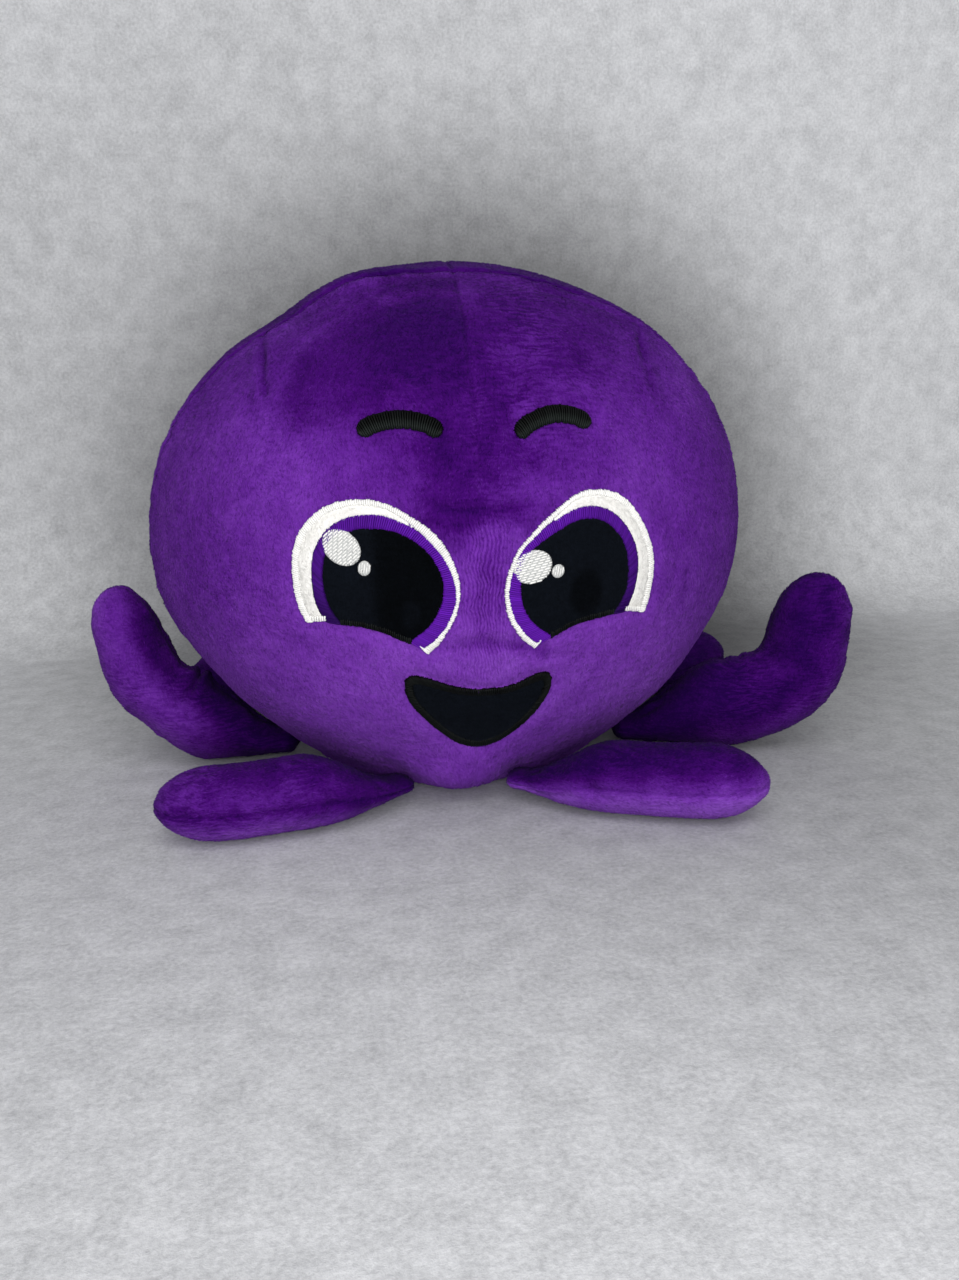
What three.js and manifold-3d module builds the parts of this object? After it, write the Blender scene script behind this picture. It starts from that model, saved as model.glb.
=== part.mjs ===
// Plush octopus: a round stuffed head on a flat base, with eight short stuffed arms and an embroidered face.
// Millimetres, +Z up. The face looks along -Y, +X is the viewer's right, the floor is z = 0 and the head
// stands over the origin. The skins are sewn panels round their own stuffing.
import * as THREE from 'three';
import { mergeVertices } from 'three/addons/utils/BufferGeometryUtils.js';
import Module from 'manifold-3d';

const wasm = await Module();
wasm.setup();

// Fabric and the gap that separate pieces keep
const skinThickness = 1.8;
const clearance = 0.3;
const patchThickness = 1.2;
const highlightThickness = 1;
const cutOverrun = 20;
const floorPress = 0.5;

// Head: half width, reach to the front and back, height, height of the widest level, flat base, and how far
// in front of the crown the side seam passes
const headHalfWidth = 150;
const headFrontReach = 135;
const headBackReach = 135;
const headHeight = 250.5;
const widestHeight = 124.5;
const baseHalfWidth = 67.5;
const undersidePower = 1.83;
const crownSeamLead = 52;

// Lattice of the head: angles up its side, from the floor to the crown, and columns round it
const baseAngles = [0, 11, 20];
const panelAngles = [20, 32, 44, 56, 68, 80, 92, 104, 116, 128, 140, 153, 166, 180];
const columnsPerPanel = 8;

// Arms: half sizes of the fat part and of the root, and where the root is sewn on
const armHalfWidth = 20.5;
const flatHalfThickness = 17.5;
const rootHalfWidth = 12;
const rootHalfThickness = 6;
const rootClearance = 0.3;
const turnedRootClearance = 0.5;
const rootAngle = 28;
const swellLength = 50;
const sidesPerArm = 10;
const tipReach = 28;

// Flat arms: length from the hinge to the end of the tip
const frontLeftLength = 114;
const frontRightLength = 116;
const rearLength = 118;

// Bent arms rise at their tips. Inset: from the head's widest level in to the start of the bend. Rise: length
// after the bend. The filling bunches up where they bend
const bendRadius = 35;
const bendAngle = 76;
const bendHalfThickness = 24;
const leftBendInset = 22;
const leftTipRise = 48;
const leftTipHalfThickness = 18;
const rightBendInset = 5;
const rightTipRise = 45;
const rightTipHalfThickness = 21;

// Eyes: where the nose side and the lid's low end lie, the whole width and height, and the stitching
const eyeInset = 9.4;
const eyeBaseHeight = 86.4;
const eyeWidth = 65.6;
const eyeHeight = 62;
const satinWidth = 2;
const lidWidth = 2.4;

// Highlights are not mirrored: they lie to the same side in both eyes
const largeHalfWidth = 7.5;
const largeHalfHeight = 6.9;
const smallHalfWidth = 2.5;
const smallHalfHeight = 2.8;

// Eyebrows and mouth
const browInset = 16.5;
const browWidth = 28;
const browGap = 22.9;
const browRise = 5;
const browThickness = 6.4;
const mouthHalfWidth = 31;
const mouthHeight = 39;
const mouthBaseHeight = 34.3;
const mouthShift = -0.8;
const mouthBorderWidth = 3;

const degrees = Math.PI / 180;
const millimetresPerMetre = 1000;

// Arms by name. place: angle round the base from the front, towards +X. heading: compass of the arm at its
// root and at its tip. halfThickness: at the fat part or bend, and at the tip
const flat = [flatHalfThickness, flatHalfThickness];
const leftBend = {
  bendInset: leftBendInset,
  rise: leftTipRise,
  halfThickness: [bendHalfThickness, leftTipHalfThickness],
};
const rightBend = {
  bendInset: rightBendInset,
  rise: rightTipRise,
  halfThickness: [bendHalfThickness, rightTipHalfThickness],
};
const arms = [
  { name: 'arm_front_left', place: -23, heading: [-54, -104], run: frontLeftLength, halfThickness: flat },
  { name: 'arm_front_right', place: 14, heading: [50, 84], run: frontRightLength, halfThickness: flat },
  { name: 'arm_side_left', place: -89, heading: [-92, -92], ...leftBend },
  { name: 'arm_side_right', place: 79, heading: [76, 76], ...rightBend },
  { name: 'arm_rear_left', place: -130, heading: [-128, -134], run: rearLength, halfThickness: flat },
  { name: 'arm_rear_right', place: 122, heading: [120, 126], run: rearLength, halfThickness: flat },
  { name: 'arm_back_left', place: -168, heading: [-166, -160], run: rearLength, halfThickness: flat },
  { name: 'arm_back_right', place: 158, heading: [160, 154], run: rearLength, halfThickness: flat },
];

// Materials
const material = (color, roughness = 0.95) => new THREE.MeshStandardMaterial({ color, roughness, metalness: 0 });
const plush = material(0x6a2a9c);
const armPlush = material(0x5c1f93);
const fibre = material(0xf0efea, 1);
const creamPlush = material(0xe9e4d8);
const whiteThread = material(0xf4f4f2, 0.6);
const purpleThread = material(0x431065, 0.6);
const blackPlush = material(0x0c0d14);
const blackThread = material(0x0a0b0d, 0.55);

const toy = new THREE.Group();

function addPiece(name, geometry, finish) {
  const mesh = new THREE.Mesh(geometry, finish);
  mesh.name = name;
  toy.add(mesh);
}

// A closed skin from two grids of points, joined along their open edges
function slab(outer, inner, rows, columns) {
  const positions = [];
  const triangle = (a, b, c) => positions.push(...a.toArray(), ...b.toArray(), ...c.toArray());
  const quad = (a, b, c, d) => {
    triangle(a, b, c);
    triangle(a, c, d);
  };
  const lastRow = rows.length - 1;
  const lastColumn = columns.length - 1;
  const wraps = columns[lastColumn] - columns[0] === 360;
  const outside = rows.map((row) => columns.map((column) => outer(row, column)));
  const inside = inner ? rows.map((row) => columns.map((column) => inner(row, column))) : null;
  for (let i = 0; i < lastRow; i++) {
    for (let j = 0; j < lastColumn; j++) {
      quad(outside[i][j], outside[i][j + 1], outside[i + 1][j + 1], outside[i + 1][j]);
      if (inside) quad(inside[i][j], inside[i + 1][j], inside[i + 1][j + 1], inside[i][j + 1]);
    }
    if (inside && !wraps) {
      quad(outside[i][0], outside[i + 1][0], inside[i + 1][0], inside[i][0]);
      quad(outside[i][lastColumn], inside[i][lastColumn], inside[i + 1][lastColumn], outside[i + 1][lastColumn]);
    }
  }
  for (let j = 0; inside && j < lastColumn; j++) {
    quad(outside[0][j], inside[0][j], inside[0][j + 1], outside[0][j + 1]);
    quad(outside[lastRow][j], outside[lastRow][j + 1], inside[lastRow][j + 1], inside[lastRow][j]);
  }
  return weld(positions);
}

// Merges equal points, drops the flat triangles at the poles and turns the faces outwards
function weld(positions) {
  const loose = new THREE.BufferGeometry();
  loose.setAttribute('position', new THREE.Float32BufferAttribute(positions, 3));
  const merged = mergeVertices(loose);
  const index = Array.from(merged.index.array);
  const faces = [];
  for (let i = 0; i < index.length; i += 3) {
    const [a, b, c] = index.slice(i, i + 3);
    if (a !== b && b !== c && c !== a) faces.push(a, b, c);
  }
  const point = (i) => new THREE.Vector3().fromBufferAttribute(merged.attributes.position, i);
  let volume = 0;
  for (let i = 0; i < faces.length; i += 3) {
    volume += point(faces[i]).dot(point(faces[i + 1]).cross(point(faces[i + 2])));
  }
  if (volume < 0) faces.reverse();
  merged.setIndex(faces);
  return merged;
}

function toSolid(geometry) {
  const bare = geometry.clone();
  bare.deleteAttribute('normal');
  bare.deleteAttribute('uv');
  const merged = mergeVertices(bare);
  return new wasm.Manifold(new wasm.Mesh({
    numProp: 3,
    vertProperties: new Float32Array(merged.attributes.position.array),
    triVerts: new Uint32Array(merged.index.array),
  }));
}

function toGeometry(solid) {
  const mesh = solid.getMesh();
  const geometry = new THREE.BufferGeometry();
  geometry.setAttribute('position', new THREE.BufferAttribute(new Float32Array(mesh.vertProperties), 3));
  geometry.setIndex(new THREE.BufferAttribute(new Uint32Array(mesh.triVerts), 1));
  return geometry;
}

// Everything below the floor, for cutting what is pressed flat on it
const toyReach = headHalfWidth + swellLength * 4;
const underFloor = toSolid(
  new THREE.BoxGeometry(2 * toyReach, 2 * toyReach, cutOverrun).translate(0, 0, -cutOverrun / 2),
);

// A point of the head, at an angle up its side (0 at the base, 180 at the crown) and a compass round it
// (0 at the front, 90 at +X). grow moves the surface outwards
function headPoint(angle, compass, grow = 0) {
  const swell = Math.sin(angle * degrees);
  const lower = angle < 90;
  const reach = (half) => {
    const base = half * (baseHalfWidth / headHalfWidth);
    return lower ? base + (half - base) * swell ** undersidePower + grow : (half + grow) * swell;
  };
  const levelSpan = lower ? widestHeight : headHeight - widestHeight;
  const along = -Math.cos(compass * degrees);
  return new THREE.Vector3(
    reach(headHalfWidth) * Math.sin(compass * degrees),
    reach(along < 0 ? headFrontReach : headBackReach) * along,
    widestHeight - (levelSpan + grow) * Math.cos(angle * degrees),
  );
}

const headColumns = (from, to) => {
  const step = 90 / columnsPerPanel;
  return Array.from({ length: Math.round((to - from) / step) + 1 }, (_, i) => from + i * step);
};

// Head skin: four panels that meet along the centre seam and along a seam over the sides, which leans forward
// to pass in front of the crown
const seamShift = clearance / 2;
const rimHeight = headPoint(panelAngles[0], 0).z;
const seamLean = Math.atan2(crownSeamLead, headHeight - rimHeight);
const headShell = toSolid(slab(
  (angle, compass) => headPoint(angle, compass),
  (angle, compass) => headPoint(angle, compass, -skinThickness),
  panelAngles,
  headColumns(0, 360),
).translate(0, 0, clearance));
const headPanels = [
  { name: 'face_left_panel', right: -1, back: -1 },
  { name: 'face_right_panel', right: 1, back: -1 },
  { name: 'back_right_panel', right: 1, back: 1 },
  { name: 'back_left_panel', right: -1, back: 1 },
];
for (const { name, right, back } of headPanels) {
  const backwards = [0, back * Math.cos(seamLean), back * Math.sin(seamLean)];
  const panel = headShell
    .trimByPlane([right, 0, 0], seamShift)
    .trimByPlane(backwards, back * rimHeight * Math.sin(seamLean) + seamShift);
  addPiece(name, toGeometry(panel), plush);
}

// Base panel: a flat disc on the floor with its rim turned up to the panels
const baseDisc = (grow) => (angle, compass) => {
  if (angle < 0) return new THREE.Vector3(0, 0, -grow);
  return headPoint(angle, compass, grow);
};
addPiece('base_panel', slab(baseDisc(0), baseDisc(-skinThickness), [-1, ...baseAngles], headColumns(0, 360)), plush);

// Head stuffing fills the skin
const headFill = -(skinThickness + clearance + seamShift);
const fillAngles = [-1, ...baseAngles, ...panelAngles.slice(1)];
addPiece('head_stuffing', slab(baseDisc(headFill), null, fillAngles, headColumns(0, 360)), fibre);

// An arm's root lies against the underside of the head, which the head's slope there pushes outwards. An arm
// that leaves its root at a slant stands a little further off, for the corners of its root
function armRoot({ place, heading }) {
  const onHead = headPoint(rootAngle, place);
  const up = headPoint(rootAngle + 1, place).sub(headPoint(rootAngle - 1, place));
  const round = headPoint(rootAngle, place + 1).sub(headPoint(rootAngle, place - 1));
  const outwards = up.cross(round).normalize();
  if (outwards.z > 0) outwards.negate();
  const slant = Math.abs(Math.sin((heading[0] - place) * degrees));
  return onHead.addScaledVector(outwards, rootHalfThickness + rootClearance + turnedRootClearance * slant);
}

// A bent arm runs out under the head and starts to bend a set way inside the head's widest level
function runToBend(arm, inset) {
  const widest = headPoint(90, arm.place);
  const root = armRoot(arm);
  return Math.hypot(widest.x - root.x, widest.y - root.y) - inset;
}
for (const arm of arms.filter(({ rise }) => rise)) arm.run = runToBend(arm, arm.bendInset);

// Stations along an arm, from the back of its root to the end of its tip. Each has the distance from the
// hinge, the share of the full section there, and how far the surface faces ahead
const capAngles = [90, 45];
const tipAngles = [28, 55, 75, 90];
const runShares = [0, 0.2, 0.4, 0.7, 1];
const bendShares = [0.33, 0.67, 1];
const bendLength = bendRadius * bendAngle * degrees;
const armLength = (arm) => (arm.rise ? arm.run + bendLength + arm.rise : arm.run);

function armStations(arm) {
  const body = armLength(arm) - tipReach;
  const runEnd = arm.rise ? arm.run : body;
  const places = runShares.map((share) => share * runEnd);
  if (arm.rise) places.push(...bendShares.map((share) => runEnd + share * bendLength), body);
  const sine = (angle) => Math.sin(angle * degrees);
  const cosine = (angle) => Math.cos(angle * degrees);
  return [
    ...capAngles.map((a) => ({ at: -rootHalfThickness * sine(a), section: cosine(a), facing: -sine(a) })),
    ...places.map((at) => ({ at, section: 1, facing: 0 })),
    ...tipAngles.map((a) => ({ at: body + tipReach * sine(a), section: cosine(a), facing: sine(a) })),
  ];
}

// How far an arm has swollen from its root size to its full size
const swollen = (at) => THREE.MathUtils.smoothstep(at, 0, swellLength);

// Half thickness of an arm at a distance from its hinge
function armHalfThickness(arm, at) {
  const length = armLength(arm);
  const [fat, tip] = arm.halfThickness;
  const body = THREE.MathUtils.lerp(fat, tip, THREE.MathUtils.smoothstep(at, length / 2, length - tipReach));
  return THREE.MathUtils.lerp(rootHalfThickness, body, swollen(at));
}

// Centre, sideways and upwards directions of an arm at a distance from its hinge
function armFrame(arm, at) {
  const steps = 24;
  const length = armLength(arm);
  const root = armRoot(arm);
  const centre = root.clone();
  const compassAt = (d) => THREE.MathUtils.lerp(arm.heading[0], arm.heading[1], d / length) * degrees;
  const pitchAt = (d) => {
    if (!arm.rise || d < arm.run) return 0;
    return Math.min((d - arm.run) / bendRadius, bendAngle * degrees);
  };
  const step = at / steps;
  for (let i = 0; i < steps; i++) {
    const d = (i + 0.5) * step;
    const level = Math.cos(pitchAt(d)) * step;
    centre.x += Math.sin(compassAt(d)) * level;
    centre.y -= Math.cos(compassAt(d)) * level;
    centre.z += Math.sin(pitchAt(d)) * step;
  }
  centre.z += (arm.halfThickness[0] - floorPress - root.z) * swollen(at);
  const compass = compassAt(at);
  const pitch = pitchAt(at);
  const side = new THREE.Vector3(Math.cos(compass), Math.sin(compass), 0);
  const ahead = new THREE.Vector3(Math.sin(compass), -Math.cos(compass), 0);
  const up = ahead.multiplyScalar(-Math.sin(pitch)).setZ(Math.cos(pitch));
  return { centre, side, up };
}

// The surface of an arm, moved outwards by grow, at a station and a turn round it from its right side up
const armSurface = (arm, grow) => (station, turn) => {
  const at = station.at + grow * station.facing;
  const { centre, side, up } = armFrame(arm, at);
  const halfWidth = THREE.MathUtils.lerp(rootHalfWidth, armHalfWidth, swollen(at));
  return centre
    .addScaledVector(side, (halfWidth + grow) * station.section * Math.cos(turn * degrees))
    .addScaledVector(up, (armHalfThickness(arm, at) + grow) * station.section * Math.sin(turn * degrees));
};

// A flat arm's seams run along its two sides, a bent arm's along its inner and outer bend
function buildArm(arm) {
  const stations = armStations(arm);
  const seam = arm.rise ? -90 : 0;
  const panelNames = arm.rise ? ['front', 'back'] : ['upper', 'lower'];
  const turns = Array.from({ length: sidesPerArm + 1 }, (_, i) => seam + i * (360 / sidesPerArm));
  const { side, up } = armFrame(arm, 0);
  panelNames.forEach((panelName, half) => {
    const halfTurns = turns.slice(0, sidesPerArm / 2 + 1).map((turn) => turn + 180 * half);
    const skin = slab(armSurface(arm, 0), armSurface(arm, -skinThickness), stations, halfTurns);
    const apart = arm.rise ? side.clone() : up.clone();
    apart.multiplyScalar(half ? -seamShift : seamShift);
    skin.translate(apart.x, apart.y, apart.z);
    addPiece(`${arm.name}_${panelName}_panel`, toGeometry(toSolid(skin).subtract(underFloor)), armPlush);
  });
  const fill = armSurface(arm, -(skinThickness + clearance + seamShift));
  addPiece(`${arm.name}_stuffing`, slab(fill, null, stations, turns), fibre);
  const root = armRoot(arm);
  const written = (v) => v.toArray().map((n) => n.toFixed(5)).join(', ');
  const hinge = root.divideScalar(millimetresPerMetre);
  console.log(`${arm.name} hinge in metres at ${written(hinge)} axis ${written(side.clone().negate())}`);
}
arms.forEach(buildArm);

// Face: thin layers of the head's surface, cut out by outlines seen from the front
const faceAngles = panelAngles.slice(1, -3);
const faceColumns = headColumns(-67.5, 67.5);
function faceLayer(from, thickness) {
  return toSolid(slab(
    (angle, compass) => headPoint(angle, compass, from + thickness),
    (angle, compass) => headPoint(angle, compass, from),
    faceAngles,
    faceColumns,
  ).translate(0, 0, clearance));
}
const patchLevel = clearance + seamShift;
const patchLayer = faceLayer(patchLevel, patchThickness);
const highlightLayer = faceLayer(patchLevel + patchThickness + clearance, highlightThickness);

// An outline's points, moved outwards by grow
function grown(outline, grow) {
  const area = THREE.ShapeUtils.area(outline);
  const sense = Math.sign(area);
  return outline.map((point, i) => {
    const before = outline.at(i - 1);
    const after = outline[(i + 1) % outline.length];
    const along = after.clone().sub(before).normalize();
    return new THREE.Vector2(point.x + along.y * sense * grow, point.y - along.x * sense * grow);
  });
}

function smoothOutline(corners, count) {
  const through = corners.map((corner) => new THREE.Vector3(corner.x, corner.y, 0));
  const curve = new THREE.CatmullRomCurve3(through, true, 'catmullrom', 0.5);
  return curve.getSpacedPoints(count).slice(0, count).map((p) => new THREE.Vector2(p.x, p.y));
}

// The outline pushed through the face, from the front to the middle of the head
function throughFace(outline) {
  const shape = new THREE.Shape(outline);
  const depth = headFrontReach + cutOverrun;
  return toSolid(new THREE.ExtrudeGeometry(shape, { depth, bevelEnabled: false }).rotateX(Math.PI / 2));
}

// Outline points as shares of the eye's width, from the nose side out, and of its height, from the lid's low end up
const whiteEdgeShares = [
  [0, 0.42], [0.08, 0.74], [0.28, 0.93], [0.53, 1.0], [0.76, 0.96], [0.93, 0.78], [1.0, 0.52], [0.96, 0.2],
  [0.8, -0.1], [0.5, -0.18], [0.2, -0.02], [0.06, 0.16],
];
const ringEdgeShares = [
  [0.035, 0.42], [0.11, 0.69], [0.28, 0.86], [0.48, 0.912], [0.66, 0.88], [0.81, 0.75], [0.88, 0.55], [0.85, 0.28],
  [0.74, -0.02], [0.5, -0.14], [0.22, 0.01], [0.085, 0.18],
];
const pupilEdgeShares = [
  [0.095, 0.44], [0.17, 0.68], [0.33, 0.81], [0.51, 0.84], [0.68, 0.8], [0.79, 0.67], [0.82, 0.48], [0.79, 0.28],
  [0.68, 0.08], [0.5, -0.04], [0.27, 0.03], [0.14, 0.22],
];
const lidShares = [[1.2, 0.21], [0.82, 0.21], [0.7, 0.205], [0.55, 0.175], [0.4, 0.115], [0.22, 0], [0.06, -0.12]];
const lidEndShares = { outer: 0.74, inner: 0.27 };
const largeHighlightShares = { left: [0.69, 0.71], right: [0.16, 0.55] };
const smallHighlightShares = { left: [0.565, 0.572], right: [0.315, 0.51] };
const outlinePoints = 26;

// A tall rectangle between two places across the face
const upright = (fromX, toX) => [
  new THREE.Vector2(fromX, 0),
  new THREE.Vector2(toX, 0),
  new THREE.Vector2(toX, headHeight),
  new THREE.Vector2(fromX, headHeight),
];

function buildEye(sideName, sign) {
  const onFace = ([across, up]) => new THREE.Vector2(
    sign * (eyeInset + across * eyeWidth),
    eyeBaseHeight + up * eyeHeight,
  );
  const whiteEdge = smoothOutline(whiteEdgeShares.map(onFace), outlinePoints);
  const ringEdge = smoothOutline(ringEdgeShares.map(onFace), outlinePoints);
  const pupilEdge = smoothOutline(pupilEdgeShares.map(onFace), outlinePoints);
  const lid = lidShares.map(onFace);
  const lidRegion = (top) => {
    const line = lid.map((p) => new THREE.Vector2(p.x, p.y + top));
    const low = eyeBaseHeight - eyeHeight;
    return [...line, new THREE.Vector2(line.at(-1).x, low), new THREE.Vector2(line[0].x, low)];
  };
  const belowLid = throughFace(lidRegion(0));
  const crescent = throughFace(whiteEdge).subtract(belowLid).subtract(throughFace(grown(ringEdge, clearance)));
  const inset = satinWidth - clearance;
  const creamCut = (grow) => throughFace(grown(whiteEdge, grow - inset))
    .subtract(throughFace(lidRegion(inset - grow)))
    .subtract(throughFace(grown(ringEdge, satinWidth - grow)))
    .subtract(creamStop(onFace, grow));
  const white = patchLayer.intersect(crescent).subtract(creamCut(clearance));
  const cream = patchLayer.intersect(creamCut(0));
  const lidSpan = (grow) => throughFace(upright(
    onFace([lidEndShares.outer, 0]).x + sign * grow,
    onFace([lidEndShares.inner, 0]).x - sign * grow,
  ));
  const lidStrip = throughFace(lidRegion(lidWidth)).subtract(belowLid).intersect(lidSpan(0));
  const lidRoom = throughFace(lidRegion(lidWidth + clearance));
  const lidStitching = patchLayer.intersect(lidStrip);
  const pupil = patchLayer.intersect(throughFace(pupilEdge)).subtract(lidRoom);
  const ring = patchLayer.intersect(throughFace(ringEdge))
    .subtract(throughFace(grown(pupilEdge, clearance)))
    .subtract(lidRoom.intersect(lidSpan(clearance)))
    .subtract(belowLid);
  const highlight = (share, halfSize) => {
    const centre = onFace(share);
    const curve = new THREE.EllipseCurve(centre.x, centre.y, ...halfSize);
    return toGeometry(highlightLayer.intersect(throughFace(curve.getPoints(outlinePoints / 2).slice(1))));
  };
  const largeHighlight = highlight(largeHighlightShares[sideName], [largeHalfWidth, largeHalfHeight]);
  const smallHighlight = highlight(smallHighlightShares[sideName], [smallHalfWidth, smallHalfHeight]);
  addPiece(`eye_${sideName}_crescent_patch`, toGeometry(cream), creamPlush);
  addPiece(`eye_${sideName}_crescent_border`, toGeometry(white), whiteThread);
  addPiece(`eye_${sideName}_iris_ring`, toGeometry(ring), purpleThread);
  addPiece(`eye_${sideName}_pupil_patch`, toGeometry(pupil), blackPlush);
  addPiece(`eye_${sideName}_lid_stitching`, toGeometry(lidStitching), blackThread);
  addPiece(`eye_${sideName}_large_highlight`, largeHighlight, whiteThread);
  addPiece(`eye_${sideName}_small_highlight`, smallHighlight, whiteThread);
}

// The cream patch ends where the crescent narrows to a satin line on the nose side
const creamEndShare = 0.3;
function creamStop(onFace, grow) {
  const sign = Math.sign(onFace([1, 0]).x);
  return throughFace(upright(onFace([0, 0]).x - sign * cutOverrun, onFace([creamEndShare, 0]).x - sign * grow));
}
buildEye('left', -1);
buildEye('right', 1);

// Eyebrows: a band along a shallow arch with round ends, a set gap above the eyes
const browHeight = eyeBaseHeight + eyeHeight + browGap;
function buildBrow(sideName, sign) {
  const arch = new THREE.QuadraticBezierCurve(
    new THREE.Vector2(browInset, browHeight),
    new THREE.Vector2(browInset + browWidth / 2, browHeight + 2 * browRise),
    new THREE.Vector2(browInset + browWidth, browHeight + browRise / 2),
  );
  const middleLine = arch.getPoints(6);
  const half = browThickness / 2;
  const outline = [];
  const endCap = (centre, direction) => {
    for (const turn of [-90, -45, 0, 45, 90]) {
      const angle = direction + turn * degrees;
      outline.push(new THREE.Vector2(centre.x + half * Math.cos(angle), centre.y + half * Math.sin(angle)));
    }
  };
  const normal = (i) => {
    const along = arch.getTangent(i / 6);
    return new THREE.Vector2(-along.y, along.x).multiplyScalar(half);
  };
  endCap(middleLine[6], arch.getTangent(1).angle());
  for (let i = 5; i > 0; i--) outline.push(middleLine[i].clone().add(normal(i)));
  endCap(middleLine[0], arch.getTangent(0).angle() + Math.PI);
  for (let i = 1; i < 6; i++) outline.push(middleLine[i].clone().sub(normal(i)));
  const placed = outline.map((p) => new THREE.Vector2(sign * p.x, p.y));
  addPiece(`eyebrow_${sideName}`, toGeometry(patchLayer.intersect(throughFace(placed))), blackThread);
}
buildBrow('left', -1);
buildBrow('right', 1);

// Mouth: half outline as shares of the half width and of the height, from the top middle round to the bottom
const mouthShares = [
  [0, 0.83], [0.45, 0.885], [0.78, 1.0], [0.95, 1.0], [1.0, 0.9], [0.93, 0.69], [0.71, 0.42], [0.43, 0.15], [0.14, 0.01],
];
function buildMouth() {
  const place = ([across, up], sign) => new THREE.Vector2(
    mouthShift + sign * across * mouthHalfWidth,
    mouthBaseHeight + up * mouthHeight,
  );
  const rightHalf = mouthShares.map((share) => place(share, 1));
  const leftHalf = mouthShares.slice(1).map((share) => place(share, -1)).reverse();
  const edge = smoothOutline([...rightHalf, ...leftHalf], 36);
  const inside = (grow) => throughFace(grown(edge, grow - mouthBorderWidth));
  addPiece('mouth_patch', toGeometry(patchLayer.intersect(inside(-clearance))), blackPlush);
  addPiece('mouth_border', toGeometry(patchLayer.intersect(throughFace(edge)).subtract(inside(0))), blackThread);
}
buildMouth();

export default toy;
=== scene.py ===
import math
from functools import partial

import bmesh
import bpy
import numpy as np
from mathutils import Matrix, Vector
from mathutils.bvhtree import BVHTree
from mathutils.geometry import delaunay_2d_cdt


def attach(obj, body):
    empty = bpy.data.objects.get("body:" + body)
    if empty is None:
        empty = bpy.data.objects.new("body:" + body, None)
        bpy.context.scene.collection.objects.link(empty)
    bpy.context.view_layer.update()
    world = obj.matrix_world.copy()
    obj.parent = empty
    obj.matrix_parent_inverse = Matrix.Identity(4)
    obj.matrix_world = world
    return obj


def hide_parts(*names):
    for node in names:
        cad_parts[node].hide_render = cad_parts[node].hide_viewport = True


# Plush octopus. Shapes are worked out in millimetres and written to the meshes in metres.
# x is the toy's width, the face looks along -y, and z = 0 is the floor.

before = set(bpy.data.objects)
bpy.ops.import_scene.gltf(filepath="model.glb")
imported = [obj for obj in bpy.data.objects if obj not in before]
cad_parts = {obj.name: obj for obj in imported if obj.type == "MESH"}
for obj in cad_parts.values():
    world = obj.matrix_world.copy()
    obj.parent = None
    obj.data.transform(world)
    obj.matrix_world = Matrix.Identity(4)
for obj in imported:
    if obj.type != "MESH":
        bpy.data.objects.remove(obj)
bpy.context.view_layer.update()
bpy.ops.object.select_all(action="DESELECT")
scene = bpy.context.scene
millimetre = 0.001
print("frame loaded:", len(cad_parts), "nodes")


# Camera: a phone's wide lens, a little above the toy and to the viewer's left
camera = {
    "place": (-0.04787, -0.50526, 0.18519),
    "right": (0.99255, -0.12187, 0.0),
    "up": (0.02948, 0.24012, 0.97030),
    "roll": -1.5,
    "lens": 27.03,
}


def addCamera(settings):
    right, up = Vector(settings["right"]), Vector(settings["up"])
    turn = math.radians(settings["roll"])
    across = right * math.cos(turn) + up * math.sin(turn)
    upright = up * math.cos(turn) - right * math.sin(turn)
    axes = Matrix((across, upright, across.cross(upright))).transposed()
    bpy.ops.object.camera_add()
    view = bpy.context.object
    view.name = "photoCamera"
    view.matrix_world = Matrix.Translation(settings["place"]) @ axes.to_4x4()
    view.data.lens = settings["lens"]
    view.data.sensor_width = 36
    scene.camera = view


addCamera(camera)


# Small helpers
def smoothStep(low, high, value):
    share = np.clip((np.asarray(value, float) - low) / (high - low), 0, 1)
    return share * share * (3 - 2 * share)


def bell(value, width):
    # 1 at zero, fading on both sides over about that width
    return np.exp(-(value / width) ** 2)


def mound(points, place, spread):
    return np.exp(-(((points - place) / spread) ** 2).sum(1))


def groove(far, depth, width, roll, rollWidth, rollFar):
    # a sunk line with a soft roll beside it
    return roll * bell(far - rollFar, rollWidth) - depth * bell(far, width)


def unit(vectors):
    return vectors / np.maximum(np.linalg.norm(vectors, axis=-1, keepdims=True), 1e-9)


def softNoise(points, size, seed):
    # smooth random values from -0.5 to 0.5, with spots about size millimetres across
    cells = 24
    table = np.random.RandomState(seed).rand(cells, cells, cells)
    places = np.asarray(points, float) / np.asarray(size, float) + 7.31 * seed
    cell = np.floor(places).astype(int)
    part = places - cell
    part = part * part * (3 - 2 * part)
    total = np.full(len(places), -0.5)
    for corner in np.ndindex(2, 2, 2):
        weight = np.where(corner, part, 1 - part).prod(1)
        total += weight * table[tuple(((cell + corner) % cells).T)]
    return total


def curvePoints(corners, count, closed=False):
    # evenly spaced points on a smooth curve through the corners
    corners = np.asarray(corners, float)
    before, after = (corners[-1:], corners[:2]) if closed else (corners[:1], corners[-1:])
    padded = np.concatenate([before, corners, after])
    t = np.linspace(0, 1, 24, endpoint=False)[:, None]
    dense = [0.5 * (2 * b + (c - a) * t + (2 * a - 5 * b + 4 * c - d) * t * t + (3 * b - a - 3 * c + d) * t ** 3)
             for a, b, c, d in zip(padded, padded[1:], padded[2:], padded[3:])]
    line = np.concatenate([*dense, corners[:1] if closed else corners[-1:]])
    along = np.concatenate([[0], np.cumsum(np.linalg.norm(np.diff(line, axis=0), axis=1))])
    wanted = np.linspace(0, along[-1], count + closed)[:count]
    return np.stack([np.interp(wanted, along, line[:, k]) for k in range(line.shape[1])], axis=1)


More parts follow.
